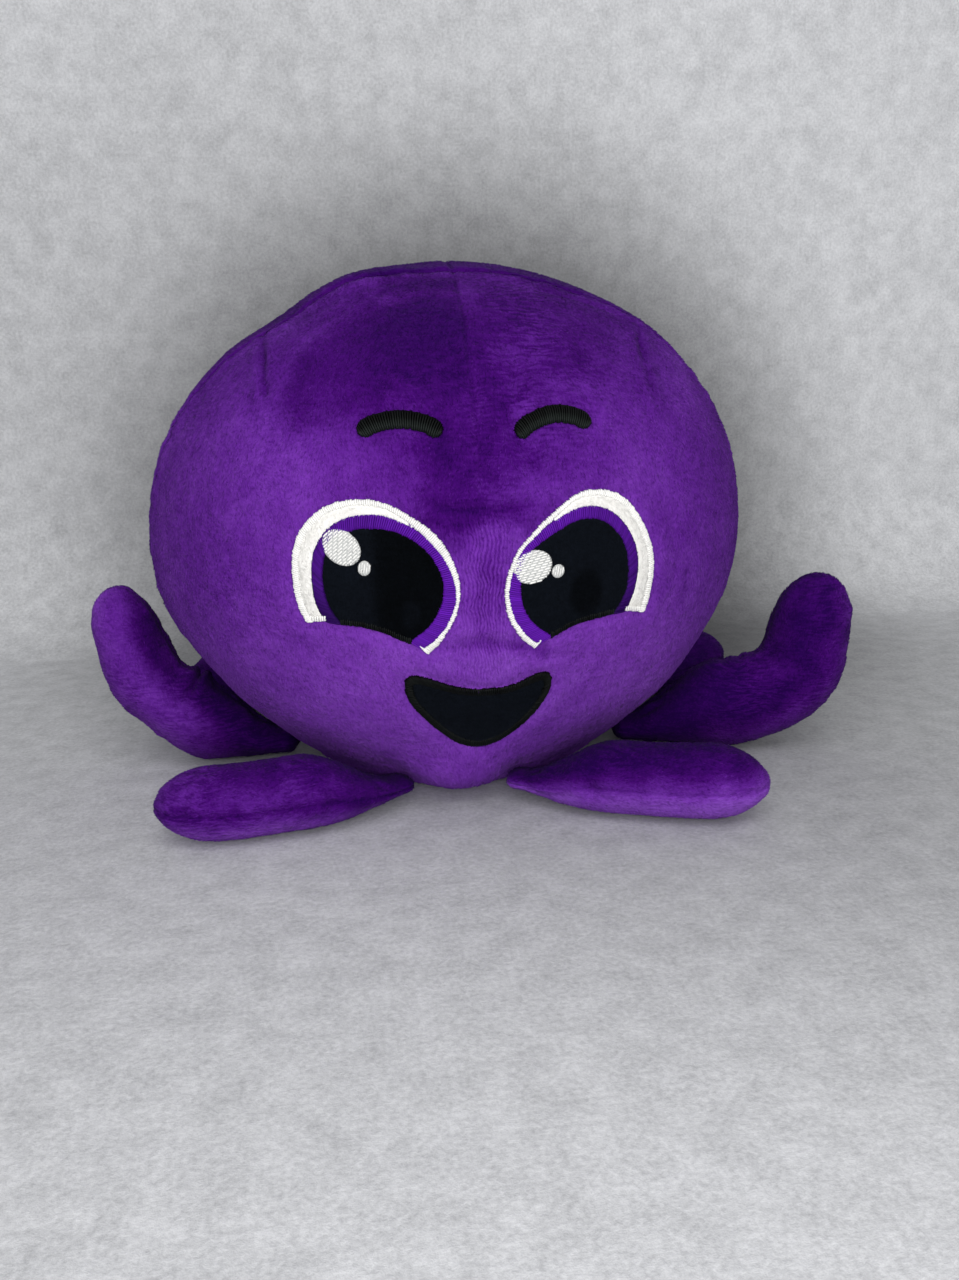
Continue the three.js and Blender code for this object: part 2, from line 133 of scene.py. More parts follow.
def insideOutline(points, outline):
    x, z = points.T
    inside = np.zeros(len(points), bool)
    for (ax, az), (bx, bz) in zip(outline, np.roll(outline, -1, axis=0)):
        reach = ax + (z - az) * (bx - ax) / ((bz - az) or 1e-9)
        inside ^= ((az > z) != (bz > z)) & (x < reach)
    return inside


def lineDistance(points, line, closed=False):
    line = np.asarray(line, float)
    ends = np.roll(line, -1, axis=0) if closed else line[1:]
    nearest = np.full(len(points), 1e9)
    for a, b in zip(line, ends):
        along = b - a
        share = np.clip(((points - a) @ along) / max(along @ along, 1e-9), 0, 1)
        nearest = np.minimum(nearest, np.linalg.norm(points - a - share[:, None] * along, axis=1))
    return nearest


def meshArrays(mesh):
    # points in millimetres, their normals, and the faces
    points, normals = np.zeros((2, len(mesh.vertices) * 3))
    mesh.vertices.foreach_get("co", points)
    mesh.vertex_normals.foreach_get("vector", normals)
    faces = [tuple(face.vertices) for face in mesh.polygons]
    return points.reshape(-1, 3) / millimetre, normals.reshape(-1, 3), faces


def setPoints(mesh, points):
    mesh.vertices.foreach_set("co", (points * millimetre).ravel())
    mesh.update()


def triangulate(faces):
    return np.array([(f[0], f[k], f[k + 1]) for f in faces for k in range(1, len(f) - 1)])


def surfaceNormals(points, faces):
    normals = np.zeros_like(points)
    triangles = triangulate(faces)
    a, b, c = (points[triangles[:, k]] for k in range(3))
    cross = np.cross(b - a, c - a)
    for k in range(3):
        np.add.at(normals, triangles[:, k], cross)
    return unit(normals)


def gridFaces(index):
    # four-sided faces between the rows of a grid of point numbers
    return np.stack([index[:-1, :-1], index[:-1, 1:], index[1:, 1:], index[1:, :-1]], axis=-1).reshape(-1, 4)


def closed(index):
    # the same grid with its first column repeated, for rows that are rings
    return np.concatenate([index, index[:, :1]], axis=1)


def newPiece(name, points, faces, normals=None, marks=None, finish=None):
    # marks are named values at the points, which the finish reads
    mesh = bpy.data.meshes.new(name)
    mesh.from_pydata((np.asarray(points) * millimetre).tolist(), [], [tuple(map(int, face)) for face in faces])
    mesh.polygons.foreach_set("use_smooth", [True] * len(mesh.polygons))
    for mark, values in (marks or {}).items():
        mesh.attributes.new(mark, "FLOAT", "POINT").data.foreach_set("value", np.asarray(values, np.float32))
    mesh.update()
    if normals is not None:
        mesh.normals_split_custom_set_from_vertices(unit(np.asarray(normals)).tolist())
    piece = bpy.data.objects.new(name, mesh)
    scene.collection.objects.link(piece)
    if finish:
        mesh.materials.append(finish)
    return piece


def placed(piece, body, nodes):
    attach(piece, body)
    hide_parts(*nodes)
    return piece


# Materials
def hexColour(text):
    channels = [int(text[i:i + 2], 16) / 255 for i in (0, 2, 4)]
    return (*[c / 12.92 if c <= 0.04045 else ((c + 0.055) / 1.055) ** 2.4 for c in channels], 1)


def addNode(tree, kind, inputs, output=0, **settings):
    # a shader node with its settings and links; the output that the next node reads comes back
    node = tree.nodes.new("ShaderNode" + kind)
    for key, value in settings.items():
        setattr(node, key, value)
    for key, value in inputs.items():
        if isinstance(value, bpy.types.NodeSocket):
            tree.links.new(value, node.inputs[key])
        else:
            node.inputs[key].default_value = value
    return node.outputs[output] if node.outputs else node


def perMillimetre(size):
    # noise scale in metres whose spots are about that many millimetres
    return 1 / (size * millimetre)


def openFinish(name):
    # an empty material, with what adds nodes to it and the place on the piece
    finish = bpy.data.materials.new(name)
    finish.use_nodes = True
    finish.node_tree.nodes.clear()
    add = partial(addNode, finish.node_tree)
    return finish, add, add("TexCoord", {}, "Object")


def surface(add, level, height, settings):
    # hex colours spread along level, over a fine bump of the height; where shadow is painted in, places keep less of
    # the light
    colour = add("ValToRGB", {"Fac": level})
    stops = colour.node.color_ramp.elements
    places = np.linspace(settings.get("from", 0), 1, len(settings["colours"]))
    for place in places[1:-1]:
        stops.new(place)
    for stop, place, text in zip(stops, places, settings["colours"]):
        stop.position, stop.color = place, hexColour(text)
    for away, start, end, kept in settings.get("paintedShadow", []):
        light = add("MapRange", {0: away, 1: start, 2: end, 3: kept, 4: 1.0}, interpolation_type="SMOOTHSTEP")
        colour = add("VectorMath", {0: colour, 3: light}, operation="SCALE")
    bump = add("Bump", {"Height": height, "Strength": settings["bump"], "Distance": settings["depth"] * millimetre})
    return add("BsdfPrincipled", {
        "Base Color": colour,
        "Roughness": settings["roughness"],
        "Specular IOR Level": settings["gloss"],
        "Sheen Weight": settings.get("sheen", 0.0),
        "Sheen Roughness": 0.5,
        "Sheen Tint": hexColour(settings.get("sheenTint", "ffffff")),
        "Normal": bump,
    })


def plushMaterial(name, settings):
    finish, add, place = openFinish(name)
    marks = ("shade", "ruffle", "upright")
    shade, ruffle, upright = (add("Attribute", {}, "Fac", attribute_name=mark) for mark in marks)
    cloud = add("TexNoise", {
        "Vector": place, "Scale": perMillimetre(settings["cloudSize"]), "Detail": 4.0, "Roughness": 0.62,
        "Distortion": 0.6,
    })
    grain = add("TexNoise", {
        "Vector": place, "Scale": perMillimetre(settings["grainSize"]), "Detail": 2.0, "Roughness": 0.7,
    })
    # ripples: rows where the pile parts, drawn out along one direction and bent by a slow noise
    sway = add("TexNoise", {"Vector": place, "Scale": perMillimetre(26), "Detail": 1.0}, "Color")
    bent = add("VectorMath", {0: sway, 1: (0.009, 0.009, 0.009), 2: place}, operation="MULTIPLY_ADD")
    rows = []
    for stretch in settings["ripples"]:
        drawn = add("Mapping", {"Vector": bent, "Scale": tuple(map(perMillimetre, stretch))})
        rows.append(add("TexNoise", {"Vector": drawn, "Scale": 1.0, "Detail": 1.0, "Roughness": 0.5}))
    # a wave's scale of 0.314 gives one groove in each unit of length
    grooves = add("TexWave", {
        "Vector": bent, "Scale": 0.314 * perMillimetre(settings["grooves"]), "Distortion": 12.0, "Detail": 2.0,
        "Detail Scale": 0.45,
    }, "Fac", bands_direction="X")
    mingled = add("Mix", {0: 0.6, 2: grooves, 3: rows[1]}, data_type="FLOAT")
    lying = add("Mix", {0: upright, 2: rows[0], 3: mingled}, data_type="FLOAT")
    ripple = add("MapRange", {0: lying, 1: 0.36, 2: 0.6, 3: -0.5, 4: 0.5}, interpolation_type="SMOOTHSTEP")
    rippled = add("Math", {0: ripple, 1: ruffle}, operation="MULTIPLY")
    level = shade
    for part, share in ((cloud, "clouding"), (rippled, "rippling"), (grain, "graining")):
        level = add("Math", {0: part, 1: settings[share], 2: level}, operation="MULTIPLY_ADD")
    evenOut = 0.5 * (settings["clouding"] + settings["graining"])
    level = add("Math", {0: level, 1: evenOut}, operation="SUBTRACT")
    relief = add("Math", {0: rippled, 1: 0.8, 2: grain}, operation="MULTIPLY_ADD")
    add("OutputMaterial", {"Surface": surface(add, level, relief, settings)})
    return finish


def threadMaterial(name, settings):
    finish, add, place = openFinish(name)
    shade = add("Attribute", {}, "Fac", attribute_name="shade")
    ply = add("TexNoise", {"Vector": place, "Scale": perMillimetre(0.35), "Detail": 1.0})
    add("OutputMaterial", {"Surface": surface(add, shade, ply, {"bump": 0.25, "depth": 0.1, **settings})})
    return finish


# Short-pile polyester plush, brushed: pile that leans away from the eye is deep violet, pile that leans
# towards it bright purple, and rubbed spots part in fine ripples
plush = {"roughness": 0.9, "gloss": 0.04, "depth": 0.5, "rippling": 0.2}
purplePlush = plushMaterial("purpleMinkyPlush", {
    **plush, "colours": ["24014a", "41076b", "5e228f", "7839ac", "9052c6"],
    "cloudSize": 13, "clouding": 0.22, "grainSize": 1.2, "graining": 0.3, "bump": 0.4,
    "ripples": [(6.0, 6.0, 1.1), (1.1, 6.0, 9.0)], "grooves": 1.5, "sheen": 0.08, "sheenTint": "a98fc8",
})
# Cream plush laid in under the satin stitches, a warmer white than the thread
patch = {**plush, "grainSize": 0.8, "graining": 0.25, "ripples": [(4.0, 4.0, 0.9), (0.9, 4.0, 4.0)], "grooves": 2}
creamPlush = plushMaterial("creamMinkyPlush", {
    **patch, "colours": ["e6e3dc", "f3f1ec", "fcfbf8"], "cloudSize": 8, "clouding": 0.25, "bump": 0.25, "sheen": 0.1,
})
# Black plush patches: bluish where the pile catches the light
blackPlush = plushMaterial("blackMinkyPlush", {
    **patch, "colours": ["010202", "05070b", "0d1118", "171c25"], "cloudSize": 12, "clouding": 0.2, "bump": 0.3,
    "sheen": 0.05, "sheenTint": "8f9bb5",
})
# Trilobal polyester embroidery thread: a silky gloss along each stitch
whiteThread, purpleThread, blackThread = (
    threadMaterial(name + "EmbroideryThread", {"colours": colours, "roughness": roughness, "gloss": gloss})
    for name, colours, roughness, gloss in (
        ("white", ["989b9a", "faf9f5"], 0.5, 0.25),
        ("purple", ["1c0140", "6a1cb4"], 0.55, 0.08),
        ("black", ["010202", "1b211f"], 0.5, 0.12),
    )
)
print("materials made")


# Head: the sewn shape before its seams, the same as the solid's
head = {
    "halfWidth": 150, "halfDepth": 135, "height": 250.5, "widest": 124.5, "baseHalf": 67.5, "underside": 1.83,
    "discAngle": 25, "cuts": 39, "crownLead": 52, "rimHeight": 7.51, "lumps": 3.2, "armRoom": 1.6,
    # where the filling stands out or has sunk: place, spread along x, y and z, and height
    "swells": [
        ((-104, -30, 200), (34, 60, 30), -1.4),
        ((-80, -20, 224), (22, 50, 14), -3.2),
        ((-46, -45, 242), (22, 22, 16), 3.2),
        ((84, -42, 219), (18, 24, 16), 0.5),
        ((118, -20, 150), (40, 60, 50), 1.2),
        ((112, -25, 64), (22, 40, 24), -1.3),
        ((-8, -84, 16), (24, 22, 22), 8.0),
        ((23, -80, 10), (10, 10, 11), -2.2),
        ((-38, -76, 11), (11, 11, 12), -2.8),
        ((0, -135, 118), (9, 30, 24), -1.3),
        ((-148, 0, 125), (45, 60, 70), 2.4),
        ((60, 90, 210), (40, 40, 40), -2.0),
        ((-70, 100, 170), (45, 40, 45), 1.6),
    ],
    # the chin bulges forwards over the floor: place, spread and distance
    "chin": ((-8, -86, 8), (23, 30, 24), 5),
    # soft creases across the face: points seen from the front, width, depth
    "creases": [
        ([(-16, 144.5), (-4, 143.2), (8, 143.6), (20, 145)], 2.6, 1.1),
        ([(-20, 139.8), (-8, 138.3), (6, 139)], 2.0, 0.6),
        ([(-17, 87), (-6, 88.7), (9, 88.7), (18, 85.5), (27, 80.5)], 3.4, 0.9),
        ([(-30, 181), (-12, 172), (-2, 168)], 3.0, 0.4),
    ],
    "darts": [
        [(-86, -46, 217), (-85, -61, 211), (-84, -73, 203), (-82.5, -88, 190)],
        [(85, -46, 217), (82, -66, 209), (81, -80, 200), (81.5, -94, 185)],
        [(0.5, -101, 36), (4, -88, 22), (5, -80, 12), (3, -72, 4)],
    ],
    "give": 2.0,
}
stuffing = {"headPressure": 260, "armPressure": 4000, "mass": 0.003, "stretch": 5, "bending": 2, "frames": 16}
seamLean = math.atan2(head["crownLead"], head["height"] - head["rimHeight"])


def headPoint(angle, compass):
    # angle up the side from the base rim (0) to the crown (180), compass from the face (0) to +x (90)
    angle, compass = np.radians(angle), np.radians(compass)
    swell = np.sin(angle)
    lower = angle < math.pi / 2

    def reach(half):
        base = half * head["baseHalf"] / head["halfWidth"]
        return np.where(lower, base + (half - base) * swell ** head["underside"], half * swell)

    span = np.where(lower, head["widest"], head["height"] - head["widest"])
    return np.stack([
        reach(head["halfWidth"]) * np.sin(compass),
        -reach(head["halfDepth"]) * np.cos(compass),
        head["widest"] - span * np.cos(angle),
    ], axis=-1)


def makeHeadForm():
    # a cube's grid blown up to a ball and laid on the head's shape; its lowest part is a flat disc
    bpy.ops.mesh.primitive_cube_add(size=2)
    form = bpy.context.object
    form.name = "headForm"
    bpy.ops.object.mode_set(mode="EDIT")
    bpy.ops.mesh.select_all(action="SELECT")
    bpy.ops.mesh.subdivide(number_cuts=head["cuts"])
    bpy.ops.object.mode_set(mode="OBJECT")
    corners, _, _ = meshArrays(form.data)
    directions = unit(np.tan(corners * millimetre * math.pi / 4))
    fromBelow = np.degrees(np.arccos(np.clip(-directions[:, 2], -1, 1)))
    compass = np.degrees(np.arctan2(directions[:, 0], -directions[:, 1]))
    disc = head["discAngle"]
    points = headPoint(np.clip((fromBelow - disc) / (180 - disc), 0, 1) * 180, compass)
    points[:, :2] *= np.clip(fromBelow / disc, 0, 1)[:, None]
    setPoints(form.data, points)
    return form


def makeActive(piece):
    bpy.ops.object.select_all(action="DESELECT")
    piece.select_set(True)
    bpy.context.view_layer.objects.active = piece


def fillWithStuffing(piece, hold, give, pressure):
    # cloth cut a little small (by give) is pressed outwards by the filling, while its seams hold it
    start, normals, _ = meshArrays(piece.data)
    start -= normals * (give * (1 - hold))[:, None]
    setPoints(piece.data, start)
    seams = piece.vertex_groups.new(name="seams")
    for level in (0.25, 0.5, 0.75, 1.0):
        near = np.flatnonzero(np.abs(hold - level) < 0.125)
        seams.add(near.tolist(), level, "REPLACE")
    makeActive(piece)
    cloth = piece.modifiers.new("filling", "CLOTH")
    cloth.settings.use_pressure = True
    cloth.settings.uniform_pressure_force = pressure
    cloth.settings.mass = stuffing["mass"]
    cloth.settings.tension_stiffness = cloth.settings.compression_stiffness = stuffing["stretch"]
    cloth.settings.bending_stiffness = stuffing["bending"]
    cloth.settings.effector_weights.gravity = 0
    cloth.settings.vertex_group_mass = "seams"
    cloth.point_cache.frame_start, cloth.point_cache.frame_end = 1, stuffing["frames"]
    for step in range(1, stuffing["frames"] + 1):
        scene.frame_set(step)
    bpy.ops.object.modifier_apply(modifier=cloth.name)
    scene.frame_set(1)
    moved = meshArrays(piece.data)[0] - start
    far = np.linalg.norm(moved, axis=1, keepdims=True)
    cap = give * 1.5
    moved *= cap * np.tanh(far / cap) / np.maximum(far, 1e-6)
    setPoints(piece.data, start + moved)
    outwards = (moved * normals).sum(1)
    print("filled", piece.name, "pressed out by %.1f mm, up to %.1f mm" % (outwards.mean(), outwards.max()))


# Face outlines, seen from the front as (x, z), each from the low outer end over the top to the nose
eyes = {
    "left": {
        "whiteOuter": [
            (-71, 99.4), (-73.2, 104.5), (-74.6, 110.5), (-75.1, 117.5), (-75, 123.3), (-74.1, 129), (-72.3, 134),
            (-69.4, 138.6), (-65.5, 142.6), (-60.6, 145.9), (-55, 147.8), (-49.5, 148.5), (-44, 148.5), (-38.7, 147.4),
            (-33.4, 145.2), (-28.7, 142.4), (-24, 139.4), (-19.3, 135.5), (-15.7, 131.1), (-12.9, 126), (-10.9, 120.9),
            (-9.7, 115.3), (-9.6, 109.5), (-10.6, 104.2), (-12.5, 99.4), (-15.6, 94), (-18.9, 89.2), (-22.4, 85.7),
        ],
        "ringOuter": [
            (-63.2, 99.9), (-65.5, 104.3), (-67.1, 110.2), (-67.5, 116.7), (-67.2, 122.4), (-66.1, 128.1), (-63.9, 132.5),
            (-60.5, 137), (-56.5, 140), (-52, 141.9), (-47.6, 142.7), (-43.3, 142.9), (-39, 142.6), (-34.7, 141.3),
            (-30.5, 139.4), (-26.3, 137), (-22.1, 133.6), (-18.5, 129.6), (-15.4, 125.2), (-13.2, 120.8), (-11.7, 116.3),
            (-10.9, 111.8), (-11.2, 107.2), (-12.4, 103.1), (-14.4, 98.6), (-17.4, 94.3), (-20.8, 90.6), (-24.6, 88),
        ],
        "pupilEdge": [
            (-56.8, 98.8), (-59.9, 103.3), (-62.1, 108.6), (-63.1, 114.5), (-63.2, 120.2), (-62.2, 126), (-59.8, 130.9),
            (-55.7, 134.6), (-51.2, 136.7), (-46.8, 137.6), (-42.5, 137.6), (-38.2, 137.2), (-33.9, 136.2),
            (-29.7, 134.4), (-25.5, 131.7), (-21.8, 128.2), (-18.8, 124), (-16.8, 119.5), (-15.8, 114.9), (-16.2, 109.1),
            (-17.7, 104.5), (-19.9, 100.4), (-22.8, 96.8), (-26.2, 93.8), (-29.6, 91.3),
        ],
        "lid": [
            (-71, 99.4), (-63.2, 99.9), (-56.8, 98.9), (-50.1, 98.3), (-44.5, 96.9), (-39, 95), (-34.1, 92.7),
            (-29.6, 90.6), (-26, 88.2), (-22.4, 85.7),
        ],
        "large": (-54.9, 130.3, 8.1, 6.5, -40), "small": (-46.4, 122.1, 3.0, 2.5, 80), "rows": 42,
        "pupilTone": lambda x, z: (0.62 - 0.42 * smoothStep(-47, -38, x)
                                   + 0.22 * smoothStep(5, 2.5, np.hypot(x + 29, (z - 103) * 0.6))),
    },
    "right": {
        "whiteOuter": [
            (71.3, 95.8), (73, 101.2), (74.5, 110.7), (74.7, 117.4), (73.5, 124.1), (70.8, 130.9), (67.1, 137.4),
            (62.4, 143.2), (57.2, 146.8), (51.4, 148.6), (46.9, 149), (42.4, 148.8), (37.8, 147.2), (33.9, 144.8),
            (29, 141.4), (23.5, 137), (18.7, 132.3), (14.9, 128.4), (12.3, 124.1), (10.5, 119.8), (9.2, 115),
            (8.6, 110.9), (8.8, 106.3), (9.9, 101.1), (11.9, 96.5), (14.6, 92.3), (18, 88.5), (21.1, 85.9),
        ],
        "ringOuter": [
            (61.8, 97.6), (63.9, 102.1), (65.9, 108.6), (66.8, 115.1), (66.5, 120.6), (65.2, 126), (62.7, 131),
            (59.7, 135.2), (55.7, 139.1), (51.1, 141.6), (46.5, 142.8), (42.1, 142.9), (37.6, 142), (33.7, 140.5),
            (29.9, 138.5), (25.6, 136), (21.6, 133.1), (17.8, 129.7), (14.9, 126.2), (13, 122.7), (11.6, 118.9),
            (10.6, 115), (10.1, 110.8), (10.4, 106.5), (11.5, 102.1), (13.2, 98.1), (15.8, 93.9), (19.1, 90.3),
            (22.6, 87.7),
        ],
        "pupilEdge": [
            (55.6, 97.4), (58.9, 101.6), (61.3, 106.9), (62.2, 113.5), (61.9, 118.9), (60.9, 123.8), (59.1, 128.2),
            (56.1, 132.1), (52.6, 135.3), (48.6, 137.3), (44.7, 138.1), (40.2, 138), (36.4, 137), (32, 135),
            (27.6, 132.7), (23.4, 130.1), (20, 127.6), (17.3, 124.7), (15.5, 120.7), (14.8, 115), (14.9, 109.4),
            (15.9, 104.5), (18.1, 99.9), (21.5, 95.7), (25.5, 92.5), (28.3, 90.6),
        ],
        "lid": [
            (71.3, 95.8), (61.8, 97.5), (55.6, 97.4), (49.1, 96.7), (42.7, 95.8), (37.1, 94.3), (32.7, 92.5),
            (28.3, 90.1), (25, 87.7), (21.1, 85.9),
        ],
        "large": (19.8, 120.5, 8.0, 6.5, 20), "small": (30.2, 118.2, 2.8, 2.6, 60), "rows": 12,
        "pupilTone": lambda x, z: 0.6 - 0.3 * smoothStep(9, 5, np.hypot(x - 43, (z - 108) * 0.7)),
    },
}
mouth = {
    "edge": [
        (-32.3, 70.5), (-31.2, 73.6), (-28, 74.6), (-22, 73), (-15.7, 70.4), (-8, 67.9), (-0.9, 67), (7, 67), (14, 68.3),
        (20, 71.2), (24.8, 73.2), (28.6, 72.3), (29.9, 68.6), (28.9, 61.5), (23, 50.6), (15, 41.2), (7.8, 36.2),
        (0, 34.6), (-8, 37), (-15, 42.5), (-23.8, 52.4), (-30.4, 62),
    ],
    "border": 3.0,
}
brows = {
    "left": [(-45.6, 173.8), (-40.5, 177), (-30, 178.9), (-20, 177.0), (-13.8, 173.2)],
    "right": [(16.0, 171.4), (21.5, 175.8), (31, 179.2), (40, 178.4), (47.2, 175.0)],
    "halfThickness": 2.9,
}


def wholeEye(eye):
    return np.concatenate([curvePoints(eye["whiteOuter"], 70), curvePoints(eye["lid"], 30)[::-1][1:-1]])


def browEdges(side, count, half):
    middle = curvePoints(brows[side], count)
    along = unit(np.gradient(middle, axis=0))
    across = np.stack([-along[:, 1], along[:, 0]], axis=1) * half
    return middle + across, middle - across


def browOutline(side):
    upper, lower = browEdges(side, 30, brows["halfThickness"])
    return np.concatenate([upper, lower[::-1]])


mouthOutline = curvePoints(mouth["edge"], 110, closed=True)
faceOutlines = [wholeEye(eyes["left"]), wholeEye(eyes["right"]), mouthOutline, browOutline("left"), browOutline("right")]


def faceDistance(points):
    # distance to the nearest embroidery edge seen from the front, and whether the point lies under stitches
    flat = points[:, [0, 2]]
    far, covered = np.full(len(points), 50.0), np.zeros(len(points), bool)
    for outline in faceOutlines:
        low, high = outline.min(0) - 12, outline.max(0) + 12
        close = (points[:, 1] < -40) & (flat > low).all(1) & (flat < high).all(1)
        if close.any():
            far[close] = np.minimum(far[close], lineDistance(flat[close], outline, closed=True))
            covered[close] |= insideOutline(flat[close], outline)
    return far, covered


def behindSeam(points):
    # distance behind the seam that crosses the head over both sides and in front of the crown
    return points[:, 1] * math.cos(seamLean) + (points[:, 2] - head["rimHeight"]) * math.sin(seamLean)


def seamDistance(points):
    far = np.minimum(np.abs(points[:, 0]) + 0.6, np.abs(behindSeam(points)))
    return np.minimum.reduce([far, *(lineDistance(points, line) for line in head["darts"])])


def creaseDistances(points):
    for line, width, depth in head["creases"]:
        yield lineDistance(points[:, [0, 2]], curvePoints(line, 12)), width, depth


headForm = makeHeadForm()
formStart, _, _ = meshArrays(headForm.data)
edgeFar, underStitches = faceDistance(formStart)
holding = np.where(formStart[:, 2] < 9, 1.0, bell(seamDistance(formStart), 5))
holding = np.where(underStitches | (edgeFar < 2), 0.5, holding)
fillWithStuffing(headForm, holding, head["give"], stuffing["headPressure"])
makeActive(headForm)
smoothing = headForm.modifiers.new("smoothing", "SUBSURF")
smoothing.levels = smoothing.render_levels = 2
bpy.ops.object.modifier_apply(modifier=smoothing.name)


def sinkAndSwell(points):
    x, y, z = points.T
    relief = head["lumps"] * softNoise(points, 58, 21) * smoothStep(20, 60, z)
    relief -= head["armRoom"] * smoothStep(48, 26, z)
    for place, spread, height in head["swells"]:
        relief += height * mound(points, place, spread)
    front = smoothStep(-20, -60, y)
    for far, width, depth in creaseDistances(points):
        relief += front * groove(far, depth, width, 0.4 * depth, width, 2 * width)
    return relief


smoothPoints, smoothNormals, smoothFaces = meshArrays(headForm.data)
smoothPoints = smoothPoints + smoothNormals * sinkAndSwell(smoothPoints)[:, None]
chinPlace, chinSpread, chinForwards = head["chin"]
smoothPoints[:, 1] -= chinForwards * mound(smoothPoints, chinPlace, chinSpread)
setPoints(headForm.data, smoothPoints)
faceTree = BVHTree.FromPolygons([Vector(p) for p in smoothPoints], smoothFaces)
print("head form:", len(smoothFaces), "faces")


def cutHead(form):
    # extra edge loops beside each seam, so that its groove is crisp
    shape = bmesh.new()
    shape.from_mesh(form.data)
    leanNormal = Vector((0, math.cos(seamLean), math.sin(seamLean)))
    rim = Vector((0, 0, head["rimHeight"] * millimetre))
    planes = [(Vector((offset * millimetre, 0, 0)), Vector((1, 0, 0))) for offset in (-1.8, -0.8, 0, 0.8, 1.8)]
    planes += [(rim + leanNormal * offset * millimetre, leanNormal) for offset in (-2.6, -1.2, 0, 1.2, 2.6)]
    planes.append((rim, Vector((0, 0, 1))))
    for place, normal in planes:
        parts = shape.verts[:] + shape.edges[:] + shape.faces[:]
        bmesh.ops.bisect_plane(shape, geom=parts, plane_co=place, plane_no=normal, dist=0.00002)
    shape.to_mesh(form.data)
    shape.free()
    form.data.update()


# how the head is sewn; a groove gives its depth and width, and the height, width and distance of the roll beside it
sewing = {
    "patchEdge": (0.9, 2.4, 0.45, 3.5, 6.5), "dart": (1.6, 1.2, 0.6, 3.0, 4.5),
    "centreSeam": 0.45, "centreSeamTop": 0.4, "centreSeamWidth": 1.1,
    "crownSeam": 2.1, "crownGroove": (1.5, 0.6, 3.5, 5.0), "puckerSize": (4.5, 30, 4.5), "puckerDepth": 1.2,
    "puckerHeight": 1.5, "puckerWidth": 8, "slackHem": 0.7,
    # the pile's unevenness: height, size and seed
    "pile": [(0.48, (3.4, 3.4, 2.4), 22), (0.32, 9, 23)], "nosePile": (0.7, (1.6, 30, 11), 24),
    "lowest": 0.3,
}


def unevenness(points, height, size, seed):
    return height * softNoise(points, size, seed)


def headRelief(points):
    # seams drawn in, cloth puckered beside them and pulled down round the embroidery, and the pile's own unevenness
    x, y, z = points.T
    edgeFar, covered = faceDistance(points)
    pile = sum(unevenness(points, *part) for part in sewing["pile"])
    pile += unevenness(points, *sewing["nosePile"]) * bell(x, 8) * bell(z - 110, 20) * (y < -100)
    relief = groove(edgeFar, *sewing["patchEdge"]) + pile * smoothStep(0, 3, edgeFar)
    seamDepth = sewing["centreSeam"] + sewing["centreSeamTop"] * smoothStep(120, 215, z)
    relief -= seamDepth * bell(x, sewing["centreSeamWidth"])
    for line in head["darts"]:
        relief += groove(lineDistance(points, line), *sewing["dart"])
    relief *= ~covered
    behind = behindSeam(points)
    side = np.abs(behind)
    pucker = softNoise(points, sewing["puckerSize"], 25)
    relief += groove(side, sewing["crownSeam"] + sewing["puckerDepth"] * pucker, *sewing["crownGroove"])
    relief += sewing["puckerHeight"] * pucker * bell(side, sewing["puckerWidth"]) * smoothStep(20, 50, z)
    slack = bell(behind + 11 + 3 * np.sin(x / 17), 2.0)
    return relief - sewing["slackHem"] * slack * smoothStep(20, 45, x) * smoothStep(95, 70, x)


cutHead(headForm)
cutPoints, headNormals, headFaces = meshArrays(headForm.data)
headPoints = cutPoints + headNormals * headRelief(cutPoints)[:, None]
headPoints[:, 2] = np.maximum(headPoints[:, 2], sewing["lowest"])
print("head skin:", len(headFaces), "faces")

# Nap: where the pile leans away and looks dark (below 0) or towards the eye and looks light (above 0).
# x, z, half width, half height, turn in degrees, strength, and the side of the centre seam it stops at
napPatches = [
    (-16, 217, 26, 28, 0, -0.3, -1),
    (-34, 210, 54, 30, 20, -0.27, -1),
    (-50, 190, 32, 40, 35, -0.16, -1),
    (-8, 182, 16, 46, 0, -0.26, -1),
    (-16, 160, 32, 28, 20, -0.24, 0),
    (12, 160, 24, 20, 0, -0.18, 1),
    (26, 203, 60, 46, -10, -0.33, 1),
    (4, 195, 8, 30, 0, -0.14, 1),
    # this patch across the bridge and the two under the nose are painted shade in the creases there
    (6, 144, 32, 8, 0, -0.2, 0),
    (2, 112, 11, 26, 0, -0.14, 0),
    (5, 88.5, 20, 3.6, 0, -0.14, 0),
    (21, 84, 7, 4, -20, -0.18, 0),
    (62, 226, 40, 12, -30, -0.14, 1),
    (84, 206, 9, 24, 12, -0.14, 1),
    (-110, 206, 20, 30, 30, -0.1, -1),
    (52, 186, 20, 16, -20, 0.1, 1),
    (30, 208, 14, 9, 10, 0.08, 1),
    (22, 178, 9, 7, 0, 0.1, 1),
    (96, 160, 30, 30, 0, -0.05, 1),
    (-92, 164, 30, 34, 0, 0.04, -1),
]


# Shades are from 0 (darkest) to 1; clouds give strength, size and seed, and drift moves the patches' edges.
# Besides the nap, light and shade are painted in: darker on the top, the sides, the creases, the crown seam and the
# darts, lighter on the lower and middle face
headNapAndShade = {
    "base": 0.61, "darkest": 0.08, "clouds": [(0.1, 40, 13), (0.1, 12, 14), (0.08, 4, 17)], "drift": [(16, 11), (5, 9)],
    "upperFront": 0.05, "upperBack": 0.2, "centreSeam": 0.06, "cheeks": 0.16, "chin": 0.06, "nose": 0.05,
    "creases": 0.09, "crownSeam": 0.16, "behindCrown": 0.25, "sides": 0.12, "darts": 0.17,
    "back": 0.12, "backClouds": (0.22, 50, 15), "spots": (1, 26, 16), "leastRuffle": 0.08, "spotRuffle": 0.2,
}


